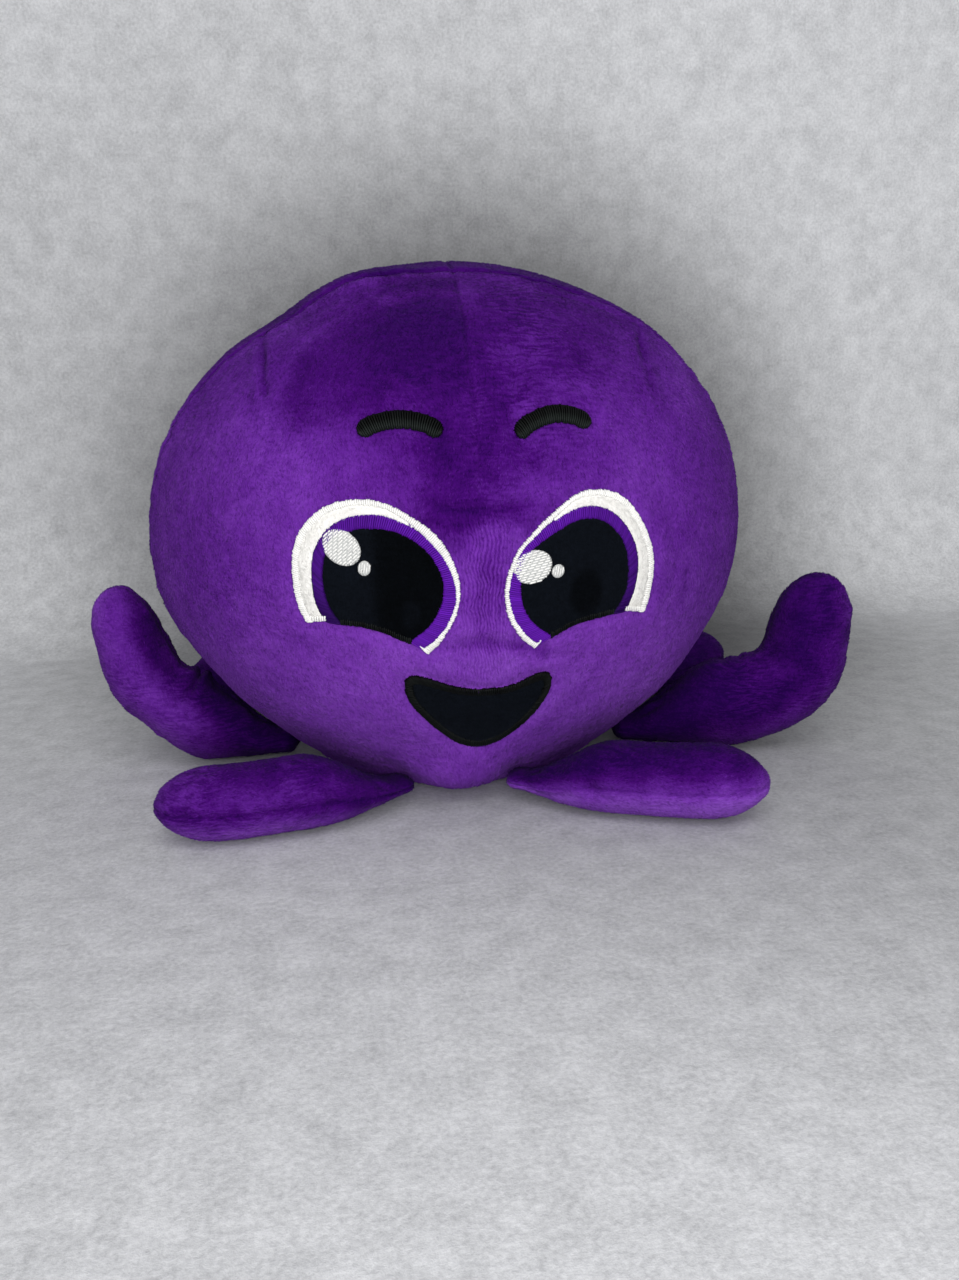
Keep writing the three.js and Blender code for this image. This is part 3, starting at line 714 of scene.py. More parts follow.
def headShade(points):
    x, y, z = points.T
    nap = headNapAndShade
    drift = [sum(unevenness(points, size, size, seed + k) for size, seed in nap["drift"]) for k in (0, 1)]
    shade = nap["base"] + sum(unevenness(points, *cloud) for cloud in nap["clouds"])
    front = smoothStep(10, -60, y)
    for cx, cz, rx, rz, turn, strength, side in napPatches:
        c, s = math.cos(math.radians(turn)), math.sin(math.radians(turn))
        dx, dz = x + drift[0] - cx, z + drift[1] - cz
        weight = smoothStep(1.4, 0.15, np.hypot((dx * c + dz * s) / rx, (dz * c - dx * s) / rz)) * front
        shade = shade + strength * weight * (smoothStep(-1.0, 1.0, x * side) if side else 1)
    # painted shade on the top of the head, in front of the crown seam and behind it
    shade -= nap["upperFront"] * smoothStep(195, 235, z) * front
    shade -= nap["upperBack"] * smoothStep(205, 240, z) * (1 - front)
    shade -= nap["centreSeam"] * smoothStep(165, 185, z) * bell(x, 1.3)
    # painted light: the lower face, less towards the chin, and the middle of the face made lighter, as lit from the
    # front
    shade += (nap["cheeks"] - nap["chin"] * smoothStep(50, 25, z)) * smoothStep(116, 74, z) * front
    shade += nap["nose"] * bell(x, 40) * bell(z - 112, 34) * front
    # painted shade in the creases
    for far, width, depth in creaseDistances(points):
        shade -= nap["creases"] * depth * front * bell(far, 0.5 * width)
    behind = behindSeam(points)
    # painted shade along the crown seam, and behind it towards the top
    shade -= nap["crownSeam"] * bell(behind, 2.2)
    shade -= nap["behindCrown"] * smoothStep(0, 3, behind) * smoothStep(190, 225, z)
    # painted shade towards the sides
    shade -= nap["sides"] * smoothStep(60, 130, np.abs(x))
    # painted shade along the two upper darts
    for line in head["darts"][:2]:
        shade -= nap["darts"] * bell(lineDistance(points, line), 1.6)
    shade += (1 - front) * (unevenness(points, *nap["backClouds"]) - nap["back"])
    return np.maximum(shade, nap["darkest"])


def headTone(points):
    # shade of the nap, with painted light and shade over it; how far the pile is parted in ripples, most on the
    # forehead and the bridge of the nose; and where the ripples run upright
    x, y, z = points.T
    forehead = bell(x - 26, 38) * bell(z - 192, 40)
    bridge = bell(x - 2, 12) * bell(z - 112, 30)
    spots = smoothStep(0, 0.25, unevenness(points, *headNapAndShade["spots"]))
    ruffle = smoothStep(10, -60, y) * (forehead * (0.5 + 0.5 * spots) + bridge)
    ruffle = np.clip(ruffle + headNapAndShade["leastRuffle"] + headNapAndShade["spotRuffle"] * spots, 0, 1)
    return {"shade": headShade(points), "ruffle": ruffle, "upright": bell(x, 14) * smoothStep(150, 132, z) * (y < -60)}


def onFace(flat):
    # the points of the head's front that lie at these places seen from the front, and the normals there
    points, normals = [], []
    for x, z in flat:
        hit, normal, _, _ = faceTree.ray_cast(Vector((x, -400, z)), Vector((0, 1, 0)))
        points.append(hit if hit else Vector((x, 0, z)))
        normals.append(normal if hit else Vector((0, -1, 0)))
    return np.array(points), np.array(normals)


# Pile: slivers that lean along the comb of the fabric, rooted under the skin
def growPile(points, normals, triangles, settings, comb, keepOut=None):
    random = np.random.RandomState(settings["seed"])
    a, b, c = (points[triangles[:, k]] for k in range(3))
    area = np.linalg.norm(np.cross(b - a, c - a), axis=1)
    chosen = random.choice(len(triangles), settings["count"], p=area / area.sum())
    u, v = random.rand(2, settings["count"])
    u, v = np.where(u + v > 1, 1 - u, u), np.where(u + v > 1, 1 - v, v)
    weights = np.stack([1 - u - v, u, v], axis=1)
    root = np.einsum("nk,nkd->nd", weights, points[triangles[chosen]])
    normal = unit(np.einsum("nk,nkd->nd", weights, normals[triangles[chosen]]))
    if keepOut is not None:
        keep = ~keepOut(root)
        root, normal = root[keep], normal[keep]
    n = len(root)

    def varied():
        return (0.7 + 0.6 * random.rand(n))[:, None]

    along = comb(root)
    along = unit(along - normal * (along * normal).sum(1)[:, None])
    turn = settings["swirl"] * 2 * softNoise(root, 12, settings["seed"] + 1) + 0.3 * random.randn(n)
    heading = along * np.cos(turn)[:, None] + np.cross(normal, along) * np.sin(turn)[:, None]
    lift = np.radians(settings["lift"] * (0.6 + 0.8 * random.rand(n)))[:, None]
    direction = heading * np.cos(lift) + normal * np.sin(lift)
    side = np.cross(normal, heading) * settings["width"] / 2 * varied()
    foot = root - normal * 0.25
    tip = root + direction * settings["length"] * varied()
    tip[:, 2] = np.maximum(tip[:, 2], 0.15)
    ridge = root + normal * settings["width"] * 0.4
    made = np.stack([foot - side, ridge, foot + side, tip], axis=1).reshape(-1, 3)
    first = np.arange(n)[:, None] * 4
    faces = np.concatenate([first + (0, 1, 3), first + (1, 2, 3)])
    facing = np.cross(made[1::4] - made[0::4], made[3::4] - made[0::4])
    if (facing * normal).sum() < 0:
        faces = faces[:, ::-1]
    # a random tint for each tuft, with its feet painted darker and its tip lighter, as shade among the pile
    tintsAndShade = (0.08 * random.randn(n)[:, None] + (-0.08, -0.01, -0.08, 0.05)).ravel()
    roughened = unit(normal + settings["ruffle"] * random.randn(n, 3))
    return made, faces, np.repeat(roughened, 4, axis=0), np.repeat(root, 4, axis=0), tintsAndShade


def plushPiece(name, points, normals, faces, pile, comb, tone, finish, keepOut=None):
    # tone gives the marks of the nap at points: shade, ruffle and upright
    tufts, tuftFaces, tuftNormals, roots, tintsAndShade = growPile(points, normals, triangulate(faces), pile, comb, keepOut)
    onSkin, onTufts = tone(points), tone(roots)
    onTufts["shade"] = onTufts["shade"] + tintsAndShade
    marks = {mark: np.concatenate([onSkin[mark], onTufts[mark]]) for mark in onSkin}
    return newPiece(name, np.concatenate([points, tufts]), [*faces, *(tuftFaces + len(points)).tolist()],
                    np.concatenate([normals, tuftNormals]), marks, finish)


def cutOut(points, normals, faces):
    # the points that these faces use, and the faces with their new numbers
    used, places = np.unique([index for face in faces for index in face], return_inverse=True)
    order = iter(places.ravel().tolist())
    return points[used], normals[used], [tuple(next(order) for _ in face) for face in faces]


headPile = {"length": 1.5, "width": 0.36, "lift": 18, "swirl": 0.7, "ruffle": 0.12}
# right and back are the sides of the two seams that a panel lies on
headPanels = {
    "faceLeftPlush": {"nodes": ["face_left_panel", "head_stuffing"], "right": -1, "back": -1, "count": 78000, "seed": 31},
    "faceRightPlush": {"nodes": ["face_right_panel"], "right": 1, "back": -1, "count": 78000, "seed": 33},
    "backRightPlush": {"nodes": ["back_right_panel"], "right": 1, "back": 1, "count": 56000, "seed": 35},
    "backLeftPlush": {"nodes": ["back_left_panel"], "right": -1, "back": 1, "count": 56000, "seed": 37},
    "basePlush": {"nodes": ["base_panel"], "right": 0, "back": 0, "count": 7000, "seed": 39},
}


def buildHead():
    normals = surfaceNormals(headPoints, headFaces)
    middles = np.array([cutPoints[list(face)].mean(0) for face in headFaces])
    above = middles[:, 2] > head["rimHeight"]
    behind = behindSeam(middles)
    for name, panel in headPanels.items():
        mine = above & (middles[:, 0] * panel["right"] > 0) & (behind * panel["back"] > 0) if panel["right"] else ~above
        faces = [headFaces[i] for i in np.flatnonzero(mine)]
        towards = (0.001, 0.6 * panel["back"] + 0.001, -1.0)
        piece = plushPiece(name, *cutOut(headPoints, normals, faces), {**headPile, **panel},
                           lambda roots: np.tile(towards, (len(roots), 1)), headTone, purplePlush,
                           (lambda roots: faceDistance(roots)[1]) if panel["back"] < 0 else None)
        placed(piece, "head", panel["nodes"])


buildHead()
bpy.data.objects.remove(headForm)
print("head sewn")


# Arms: the solids' shape. Place and heading are compass angles, lengths in millimetres. Shift and slim move and
# thin the outer part a little, trims swell or thin it: place after the bend, spread, side and height.
# tone: base, lift on the underside or outer side, drop on the top or inner side, middle; the lift is partly painted
# light, and the darkening near the root is painted shade
lying = {"run": 118, "half": (17.5, 17.5)}
arms = {
    ("front", "left"): {
        **lying, "place": -23, "heading": (-54, -104), "run": 114, "seed": 51, "shift": (1.7, 1.8, 0),
        "slim": (3.2, 0.3), "pinch": 0.7, "tone": (0.36, 0.3, -0.1, -0.14), "rootShade": 0.2,
    },
    ("front", "right"): {
        **lying, "place": 14, "heading": (50, 84), "run": 116, "seed": 53, "shift": (0.4, 3.0, 0),
        "slim": (3.4, 0.0), "pinch": 0.68, "tone": (0.1, 0.84, -0.1, 0.0), "rootShade": -0.08, "liftFrom": 0.75,
    },
    ("side", "left"): {
        "place": -89, "heading": (-92, -92), "inset": 22, "rise": 48, "half": (24, 18), "seed": 55,
        "shift": (-2.8, 0.6, 0), "slim": (1.0, 1.2), "trims": [(27, 17, -1, -7.0), (58, 14, -1, 0.8)],
        "tone": (0.46, 0.12, -0.3, 0.0), "rootShade": 0.55,
    },
    ("side", "right"): {
        "place": 79, "heading": (76, 76), "inset": 5, "rise": 45, "half": (24, 21), "seed": 57,
        "shift": (5.8, -1.2, 0), "slim": (1.0, 1.8), "fold": 0.3, "tone": (0.05, 0.22, 0.0, 0.0),
        "trims": [(-20, 17, 1, -1.0), (44, 20, -1, 2.6), (16, 12, -1, -0.6)],
    },
    ("rear", "left"): {**lying, "place": -130, "heading": (-128, -134), "seed": 59, "shift": (3.0, 0, -1.0),
                       "tone": (0.06, 0.12, 0.0, -0.06)},
    ("rear", "right"): {**lying, "place": 122, "heading": (120, 126), "seed": 61, "shift": (11.0, 0, -1.0),
                        "tone": (0.06, 0.12, 0.0, -0.04)},
    ("back", "left"): {**lying, "place": -168, "heading": (-166, -160), "seed": 63, "tone": (0.4, 0.1, 0.0, -0.06)},
    ("back", "right"): {**lying, "place": 158, "heading": (160, 154), "seed": 65, "tone": (0.36, 0.1, 0.0, -0.06)},
}
armShape = {
    "halfWidth": 20.5, "rootHalfWidth": 12, "rootHalfThickness": 6, "rootGap": 0.3, "slantGap": 0.5, "rootAngle": 28,
    "swell": 50, "tip": 28, "bendRadius": 35, "bendAngle": 76, "floorPress": 0.5, "rings": 105, "turns": 84,
    "seamLength": 120, "give": 1.1, "rest": 0.3, "settle": 0.9, "pile": 11000,
}
armCloth = {
    "seam": 0.6, "seamRoll": 0.35, "pucker": 1.6, "lumps": 1.6, "pile": 0.3, "gathers": 2.4, "fold": 2.4,
    "foldRoll": 1.4, "foldAt": 0.42, "nick": 2.6, "nickAt": 40,
}


def armRoot(arm):
    # just off the head's underside
    angle, place = armShape["rootAngle"], arm["place"]
    up = headPoint(angle + 1, place) - headPoint(angle - 1, place)
    around = headPoint(angle, place + 1) - headPoint(angle, place - 1)
    outwards = unit(np.cross(up, around))
    if outwards[2] > 0:
        outwards = -outwards
    slant = abs(math.sin(math.radians(arm["heading"][0] - place)))
    gap = armShape["rootHalfThickness"] + armShape["rootGap"] + armShape["slantGap"] * slant
    return headPoint(angle, place) + outwards * gap


def measureArm(arm):
    arm["root"] = armRoot(arm)
    arm["arc"] = 0
    if "rise" in arm:
        arm["arc"] = armShape["bendRadius"] * math.radians(armShape["bendAngle"])
        widest = headPoint(90.0, arm["place"])
        arm["run"] = math.hypot(widest[0] - arm["root"][0], widest[1] - arm["root"][1]) - arm["inset"]
    arm["length"] = arm["run"] + arm["arc"] + arm.get("rise", 0)


def armFrames(arm, at):
    # centres, sideways, upwards and forwards directions and half sizes at distances from the hinge
    first, last = arm["heading"]

    def directions(d):
        compass = np.radians(first + (last - first) * d / arm["length"])
        pitch = np.clip((d - arm["run"]) / armShape["bendRadius"], 0, math.radians(armShape["bendAngle"]))
        side = np.stack([np.cos(compass), np.sin(compass), 0 * pitch], axis=-1)
        along = np.stack([np.sin(compass) * np.cos(pitch), -np.cos(compass) * np.cos(pitch), np.sin(pitch)], axis=-1)
        return side, np.cross(along, side), along

    steps = 24
    side, up, along = directions(at)
    way = directions(at[:, None] * (np.arange(steps) + 0.5) / steps)[2]
    centre = arm["root"] + way.mean(1) * at[:, None]
    raised = "rise" in arm
    swollen = smoothStep(0, armShape["swell"], at)
    outer = smoothStep(arm["run"] + 4, arm["run"] + arm["arc"], at) if raised else smoothStep(0, 60, at)
    slimWidth, slimThickness = arm.get("slim", (0, 0))
    fat, tip = arm["half"]
    centre[:, 2] += (fat - armShape["floorPress"] - arm["root"][2]) * swollen - (0 if raised else slimThickness) * outer
    centre += np.outer(outer, arm.get("shift", (0, 0, 0)))
    body = fat + (tip - fat) * smoothStep(arm["length"] / 2, arm["length"] - armShape["tip"], at)
    rootWidth, rootThickness = armShape["rootHalfWidth"], armShape["rootHalfThickness"]
    pinched = 1 - (1 - arm.get("pinch", 1)) * smoothStep(34, 0, at)
    halfWidth = (rootWidth + (armShape["halfWidth"] - rootWidth) * swollen - slimWidth * outer) * pinched
    halfThickness = (rootThickness + (body - rootThickness) * swollen - slimThickness * outer) * pinched
    return centre, side, up, along, halfWidth, halfThickness


def armRings(arm):
    # distances along the arm, closer together round the root and the tip, and the share of the section there
    body = arm["length"] - armShape["tip"]
    rootTurns = np.radians(np.linspace(90, 10, 7))
    tipTurns = np.radians(np.linspace(2, 90, 26))
    middle = np.linspace(0, body, armShape["rings"] - len(rootTurns) - len(tipTurns))
    root, tip = -armShape["rootHalfThickness"] * np.sin(rootTurns), body + armShape["tip"] * np.sin(tipTurns)
    section = np.concatenate([np.cos(rootTurns), np.ones(len(middle)), np.cos(tipTurns)])
    return np.concatenate([root, middle, tip]), section


def fillArm(name, grid, at, seamFar):
    # the filling works on every second ring and column, and its push is spread over the rest
    rows = grid[::2, ::2]
    inner = rows[1:-1].reshape(-1, 3)
    points = np.concatenate([rows[:1, 0], inner, rows[-1:, 0]])
    columns, last = rows.shape[1], len(points) - 1
    index = 1 + np.arange(len(inner)).reshape(-1, columns)
    faces = gridFaces(closed(index)).tolist()
    faces += [(0, b, a) for a, b in zip(index[0].tolist(), np.roll(index[0], -1).tolist())]
    faces += [(last, a, b) for a, b in zip(index[-1].tolist(), np.roll(index[-1], -1).tolist())]
    if (surfaceNormals(points, faces)[1:-1] * (inner - rows[1:-1].mean(1).repeat(columns, axis=0))).sum() < 0:
        faces = [tuple(face)[::-1] for face in faces]
    hold = np.maximum(bell(seamFar[::2, ::2][1:-1].ravel(), 5), smoothStep(32, 8, np.repeat(at[::2][1:-1], columns)))
    form = newPiece(name + "Form", points, faces)
    fillWithStuffing(form, np.concatenate([[1], hold, [0.5]]), armShape["give"], stuffing["armPressure"])
    moved = meshArrays(form.data)[0] - points
    bpy.data.objects.remove(form)
    push = np.zeros_like(rows)
    push[0], push[1:-1], push[-1] = moved[0], moved[1:-1].reshape(-1, columns, 3), moved[-1]
    spread = np.zeros((len(grid), columns, 3))
    spread[::2], spread[1::2] = push, (push[:-1] + push[1:]) / 2
    whole = np.zeros_like(grid)
    whole[:, ::2], whole[:, 1::2] = spread, (spread + np.roll(spread, -1, 1)) / 2
    return grid + whole


def armRelief(arm, points, section, along, turn, top, seamFar):
    # the seam drawn in, cloth puckered beside it and gathered at the root, and the filling's own lumps
    seed = arm["seed"]
    puckers = unevenness(points, armCloth["pucker"], 5.5, seed + 2)
    relief = groove(seamFar, armCloth["seam"], 1.4, armCloth["seamRoll"] + puckers, 3.5, 4.5)
    relief += unevenness(points, armCloth["lumps"], 30, seed) + unevenness(points, armCloth["pile"], 3.4, seed + 1)
    gathers = unevenness(np.stack([along / 4, turn / 9, turn * 0], axis=1), armCloth["gathers"], 2.0, seed + 5)
    relief += gathers * smoothStep(38, 14, along) * smoothStep(3, 16, along)
    if "rise" in arm:
        for place, spread, side, height in arm["trims"]:
            relief += height * bell(along - arm["run"] - place, spread) * smoothStep(-0.1, 0.9, top * side)
        # the inner side folds once where the arm is bent up
        far = along - arm["run"] - armCloth["foldAt"] * arm["arc"]
        creased = arm.get("fold", 1) * smoothStep(0.2, 0.95, top)
        rolls = armCloth["foldRoll"] * (bell(far - 8, 5) + bell(far + 8, 5))
        relief += creased * (rolls - armCloth["fold"] * bell(far, 2.6))
    else:
        # a pinched place in the seam near the root
        relief -= armCloth["nick"] * bell(along - armCloth["nickAt"], 3.5) * bell(seamFar, 6)
    return relief * smoothStep(0, 0.25, section)


def armPieces(row, side, arm):
    measureArm(arm)
    at, section = armRings(arm)
    raised = "rise" in arm
    seam = -90 if raised else 0
    turns = np.linspace(0, 360, armShape["turns"] + 1)[:-1] + seam
    stations, sideways, ups, combs, halfWidth, halfThickness = armFrames(arm, at)
    angles = np.radians(turns)[:, None]
    across, upright = sideways * (halfWidth * section)[:, None], ups * (halfThickness * section)[:, None]
    grid = stations[:, None] + across[:, None] * np.cos(angles) + upright[:, None] * np.sin(angles)
    rings, count = grid.shape[:2]
    turn, around, along = np.tile(turns - seam, rings), np.repeat(section, count), np.repeat(at, count)
    seamFar = np.abs((turn + 90) % 180 - 90) / 360 * armShape["seamLength"] * around
    name = row + side.capitalize() + "Arm"
    grid = fillArm(name, grid, at, seamFar.reshape(rings, count))
    points = grid.reshape(-1, 3)
    faces = gridFaces(closed(np.arange(rings * count).reshape(rings, count)))
    normals = surfaceNormals(points, faces)
    if (normals * (points - np.repeat(grid.mean(1), count, axis=0))).sum() < 0:
        faces, normals = faces[:, ::-1], -normals
    relief = armRelief(arm, points, around, along, turn, np.tile(np.sin(angles[:, 0]), rings), seamFar)
    points = points + normals * relief[:, None]
    # what would sink into the floor is flattened on it
    height, settle = points[:, 2] - armShape["rest"], armShape["settle"]
    flattened = np.log1p(np.exp(np.clip(height / settle, -30, 30))) * settle
    points[:, 2] = armShape["rest"] + np.where(height > 8, height, flattened)
    normals = surfaceNormals(points, faces)
    ups = ups / halfThickness[:, None]

    def nearest(roots):
        return np.concatenate([((part[:, None] - stations) ** 2).sum(-1).argmin(1) for part in np.array_split(roots, 8)])

    def tone(roots):
        base, lift, drop, middle = arm["tone"]
        ring = nearest(roots)
        high, away = ((roots - stations[ring]) * ups[ring]).sum(1), at[ring]
        shade = base + unevenness(roots, 0.2, 30, arm["seed"] + 3) + unevenness(roots, 0.2, 9, arm["seed"] + 4)
        # the underside or outer side lighter, partly from the lower panel's nap and partly painted light where the
        # floor shades it; the top or inner side darker with the nap
        shade += lift * smoothStep(arm.get("liftFrom", 0), -0.6, high) + drop * smoothStep(0.1, 0.8, high)
        shade += middle * bell(high + 0.1, 0.35) + 0.1 * smoothStep(arm["length"] - 30, arm["length"], away)
        # painted shade near the root, under the head
        shade -= arm.get("rootShade", 0.3) * smoothStep(60, 10, away)
        if not raised:
            shade -= 0.12 * bell(high, 0.06)
        ruffle = 0.3 + 0.5 * smoothStep(-0.05, 0.25, softNoise(roots, 22, arm["seed"] + 6))
        return {"shade": np.maximum(shade, 0.03), "ruffle": ruffle, "upright": 0 * shade}

    def comb(roots):
        return combs[nearest(roots)] + (0.001, 0.002, 0.001)

    column = np.tile(np.arange(count), rings - 1)
    node = f"arm_{row}_{side}"
    for half, part in enumerate(("Front", "Back") if raised else ("Upper", "Lower")):
        chosen = faces[(column >= count // 2) == bool(half)].tolist()
        pile = {**headPile, "count": armShape["pile"], "seed": arm["seed"] + 20 + half}
        piece = plushPiece(f"{name}{part}Plush", *cutOut(points, normals, chosen), pile, comb, tone, purplePlush)
        nodes = [f"{node}_{part.lower()}_panel", f"{node}_stuffing"][:2 - half]
        placed(piece, node, nodes)


for (row, side), arm in arms.items():
    armPieces(row, side, arm)
print("arms sewn")


# Embroidery
patchPile = {
    "length": 1.1, "width": 0.34, "lift": 20, "swirl": 0.6, "ruffle": 0.12, "step": 1.3, "round": 1.4, "height": 0.5,
}
# stitches as wide as it takes for them to show, about twice the width of real ones
satin = {"pitch": 0.85, "level": 0.55, "height": 0.6, "ragged": 0.5, "shade": 0.6, "puff": 4, "vary": 0.12}
highlight = {
    **satin, "pitch": 0.98, "width": 0.86, "level": 0.95, "height": 0.3, "stitch": 2.9, "ragged": 0.05, "seed": 81,
    "shade": 0.95, "vary": 0.08, "puff": 2, "dip": 0.15, "endShade": -0.6,
}


def liftedPatch(name, outline, settings, finish, nodes, toneAt):
    # a patch of plush cut to the outline, laid on the face, its edge held down by the satin
    low, high = outline.min(0), outline.max(0)
    step = settings["step"]
    gridX, gridZ = np.meshgrid(np.arange(low[0], high[0], step), np.arange(low[1], high[1], step))
    inner = np.stack([gridX.ravel() + step / 2 * (np.arange(gridX.size) // gridX.shape[1] % 2), gridZ.ravel()], axis=1)
    inner = inner[insideOutline(inner, outline)]
    inner = inner[lineDistance(inner, outline, closed=True) > step * 0.6]
    edges = [(i, (i + 1) % len(outline)) for i in range(len(outline))]
    made = delaunay_2d_cdt([Vector(p) for p in np.concatenate([outline, inner])], edges, [], 1, 1e-4)
    flat = np.array([tuple(p) for p in made[0]])
    faces = [tuple(face) for face in made[2]]
    far = lineDistance(flat, outline, closed=True)
    points, normals = onFace(flat)
    height = settings["height"] * np.sqrt(np.clip(far / settings["round"], 0, 1)) - 0.3 * (far < 0.01)
    height += 0.2 * softNoise(points, 4, settings["seed"]) * (far > 0.01)
    points = points + normals * height[:, None]
    normals = surfaceNormals(points, faces)
    if normals[:, 1].mean() > 0:
        faces, normals = [face[::-1] for face in faces], -normals

    def tone(roots):
        shade = toneAt(roots[:, 0], roots[:, 2]) + 0.08 * softNoise(roots, 9, settings["seed"] + 1)
        return {"shade": shade, "ruffle": 0.3 + 0 * shade, "upright": 0 * shade}

    def nearEdge(roots):
        return lineDistance(roots[:, [0, 2]], outline, closed=True) < 0.7

    piece = plushPiece(name, points, normals, faces, settings, lambda roots: np.tile((0.3, 0, -1.0), (len(roots), 1)),
                       tone, finish, nearEdge)
    placed(piece, "head", nodes)


def stitches(starts, ends, settings):
    # one raised, three-sided strand from each start to its end, both as places on the face
    random = np.random.RandomState(settings["seed"])
    starts, ends = np.asarray(starts, float), np.asarray(ends, float)
    count, samples = len(starts), 7
    along = unit(ends - starts)
    starts = starts - along * (settings["ragged"] * random.rand(count, 1))
    ends = ends + along * (settings["ragged"] * random.rand(count, 1))
    share = np.linspace(0, 1, samples)
    flat = starts[:, None] + (ends - starts)[:, None] * share[None, :, None]
    points, normals = (found.reshape(count, samples, 3) for found in onFace(flat.reshape(-1, 2)))
    side = unit(np.cross(normals, unit(np.gradient(points, axis=1)))) * settings["width"] / 2
    fromMiddle = np.abs(2 * share - 1)
    ended = fromMiddle > 0.99
    height = settings["level"] + settings["height"] * (1 - fromMiddle ** settings["puff"])
    height = (height - settings.get("dip", 0.25) * ended)[None, :, None] + 0.06 * random.randn(count, 1, 1)
    crown = points + normals * height
    low = points + normals * (height - settings["width"] * 0.5)
    made = np.stack([low - side, crown, low + side], axis=2).reshape(-1, 3)  # stitch, sample, across
    index = np.arange(len(made)).reshape(count, samples, 3)
    after = np.roll(index, -1, axis=2)
    quads = np.stack([index[:, :-1], index[:, 1:], after[:, 1:], after[:, :-1]], axis=-1)
    a, b, c = made[quads[0, 0, 0, :3]]
    faces = [tuple(face) for face in quads.reshape(-1, 4).tolist()]
    faces += [tuple(end) for end in index[:, 0].tolist()] + [tuple(end[::-1]) for end in index[:, -1].tolist()]
    if np.cross(b - a, c - a) @ normals[0, 0] < 0:
        faces = [face[::-1] for face in faces]
    shade = np.clip(settings["shade"] + settings["vary"] * random.randn(count), 0, 1)
    # the ends darker, and the lower part of a strand can be painted lighter, as sheen
    endsAndSheen = settings.get("endShade", -0.1) * ended + settings.get("lowerSheen", 0) * smoothStep(0.45, 0.8, share)
    shade = np.repeat((shade[:, None] + endsAndSheen).ravel(), 3)
    return made, faces, np.clip(shade, 0, 1)


def backing(lineA, lineB, level):
    # a strip under the strands, between the two edges of the band
    (a, normalsA), (b, normalsB) = onFace(lineA), onFace(lineB)
    middle = (a + b) / 2 + (normalsA + normalsB) / 2 * level
    made = np.stack([a - normalsA * 0.4, a + normalsA * level, middle, b + normalsB * level, b - normalsB * 0.4], axis=1)
    faces = gridFaces(np.arange(len(a) * 5).reshape(-1, 5).T)
    facing = np.cross(made[1, 2] - made[0, 2], made[0, 3] - made[0, 2]) @ normalsA[0]
    return made.reshape(-1, 3), (faces if facing > 0 else faces[:, ::-1]).tolist()


def threadPiece(name, parts, finish, nodes):
    points, faces, shades, total = [], [], [], 0
    for made, madeFaces, shade in parts:
        points.append(made)
        faces.extend([tuple(index + total for index in face) for face in madeFaces])
        shades.append(np.broadcast_to(shade, (len(made),)))
        total += len(made)
    piece = newPiece(name, np.concatenate(points), faces, None, {"shade": np.concatenate(shades)}, finish)
    placed(piece, "head", nodes)


def satinBand(edgeA, edgeB, settings):
    # strands laid side by side across a band between two edges; the shade may change along the band
    length = np.linalg.norm(np.diff((edgeA + edgeB) / 2, axis=0), axis=1).sum()
    tones = np.atleast_1d(settings["shade"])

    def shadeAlong(count):
        return np.interp(np.linspace(0, 1, count), np.linspace(0, 1, len(tones)), tones)

    count, strip = max(4, int(length / settings["pitch"])), 90
    strands = stitches(curvePoints(edgeA, count), curvePoints(edgeB, count),
                       {**settings, "shade": shadeAlong(count), "width": settings["pitch"] * 1.35})
    under = backing(curvePoints(edgeA, strip), curvePoints(edgeB, strip), settings["level"] - 0.1)
    return [strands, (*under, np.clip(np.repeat(shadeAlong(strip), 5) - 0.2, 0, 1))]


def turned(degrees):
    # two directions at right angles on the face, the first turned up by so much
    c, s = math.cos(math.radians(degrees)), math.sin(math.radians(degrees))
    return np.array([(c, s), (-s, c)])


def highlightStitches(centre, half, slant, rowTurn, settings):
    # rows of short strands across an oval turned by slant, each row shifted against the last
    ahead, across = turned(rowTurn)
    random = np.random.RandomState(settings["seed"] + 5)
    reach, stitch = max(half), settings["stitch"]
    starts, ends = [], []
    for row, offset in enumerate(np.arange(-reach, reach, settings["pitch"])):
        marks = np.arange(-reach - stitch, reach, stitch) + stitch * ((row * 0.37) % 1)
        for mark in marks + 0.1 * random.randn():
            places = ahead * np.linspace(mark, mark + stitch, 9)[:, None] + across * offset
            inside = places[(((places @ turned(slant).T) / half) ** 2).sum(1) < 1]
            if len(inside) > 2:
                starts.append(centre + inside[0])
                ends.append(centre + inside[-1])
    return stitches(starts, ends, settings)


def ovalBase(centre, half, slant, level):
    # a low oval cushion under the strands of a highlight
    sides = 32
    turns = np.linspace(0, 2 * math.pi, sides + 1)[:-1]
    edge = np.stack([np.cos(turns), np.sin(turns)], axis=1) * half @ turned(slant)
    rings = ((0.5, level), (0.85, level), (1.0, level * 0.8), (1.03, 0.2))
    points, normals = onFace(np.concatenate([[centre], *(centre + edge * share for share, _ in rings)]))
    made = points + normals * np.repeat([level, *(high for _, high in rings)], [1] + [sides] * len(rings))[:, None]
    index = 1 + np.arange(sides * len(rings)).reshape(len(rings), sides)
    faces = [(0, 1 + k, 1 + (k + 1) % sides) for k in range(sides)]
    faces += [tuple(face) for face in gridFaces(closed(index).T).tolist()]
    a, b, c = (made[k] for k in faces[0])
    if np.cross(b - a, c - a)[1] > 0:
        faces = [face[::-1] for face in faces]
    return made, faces


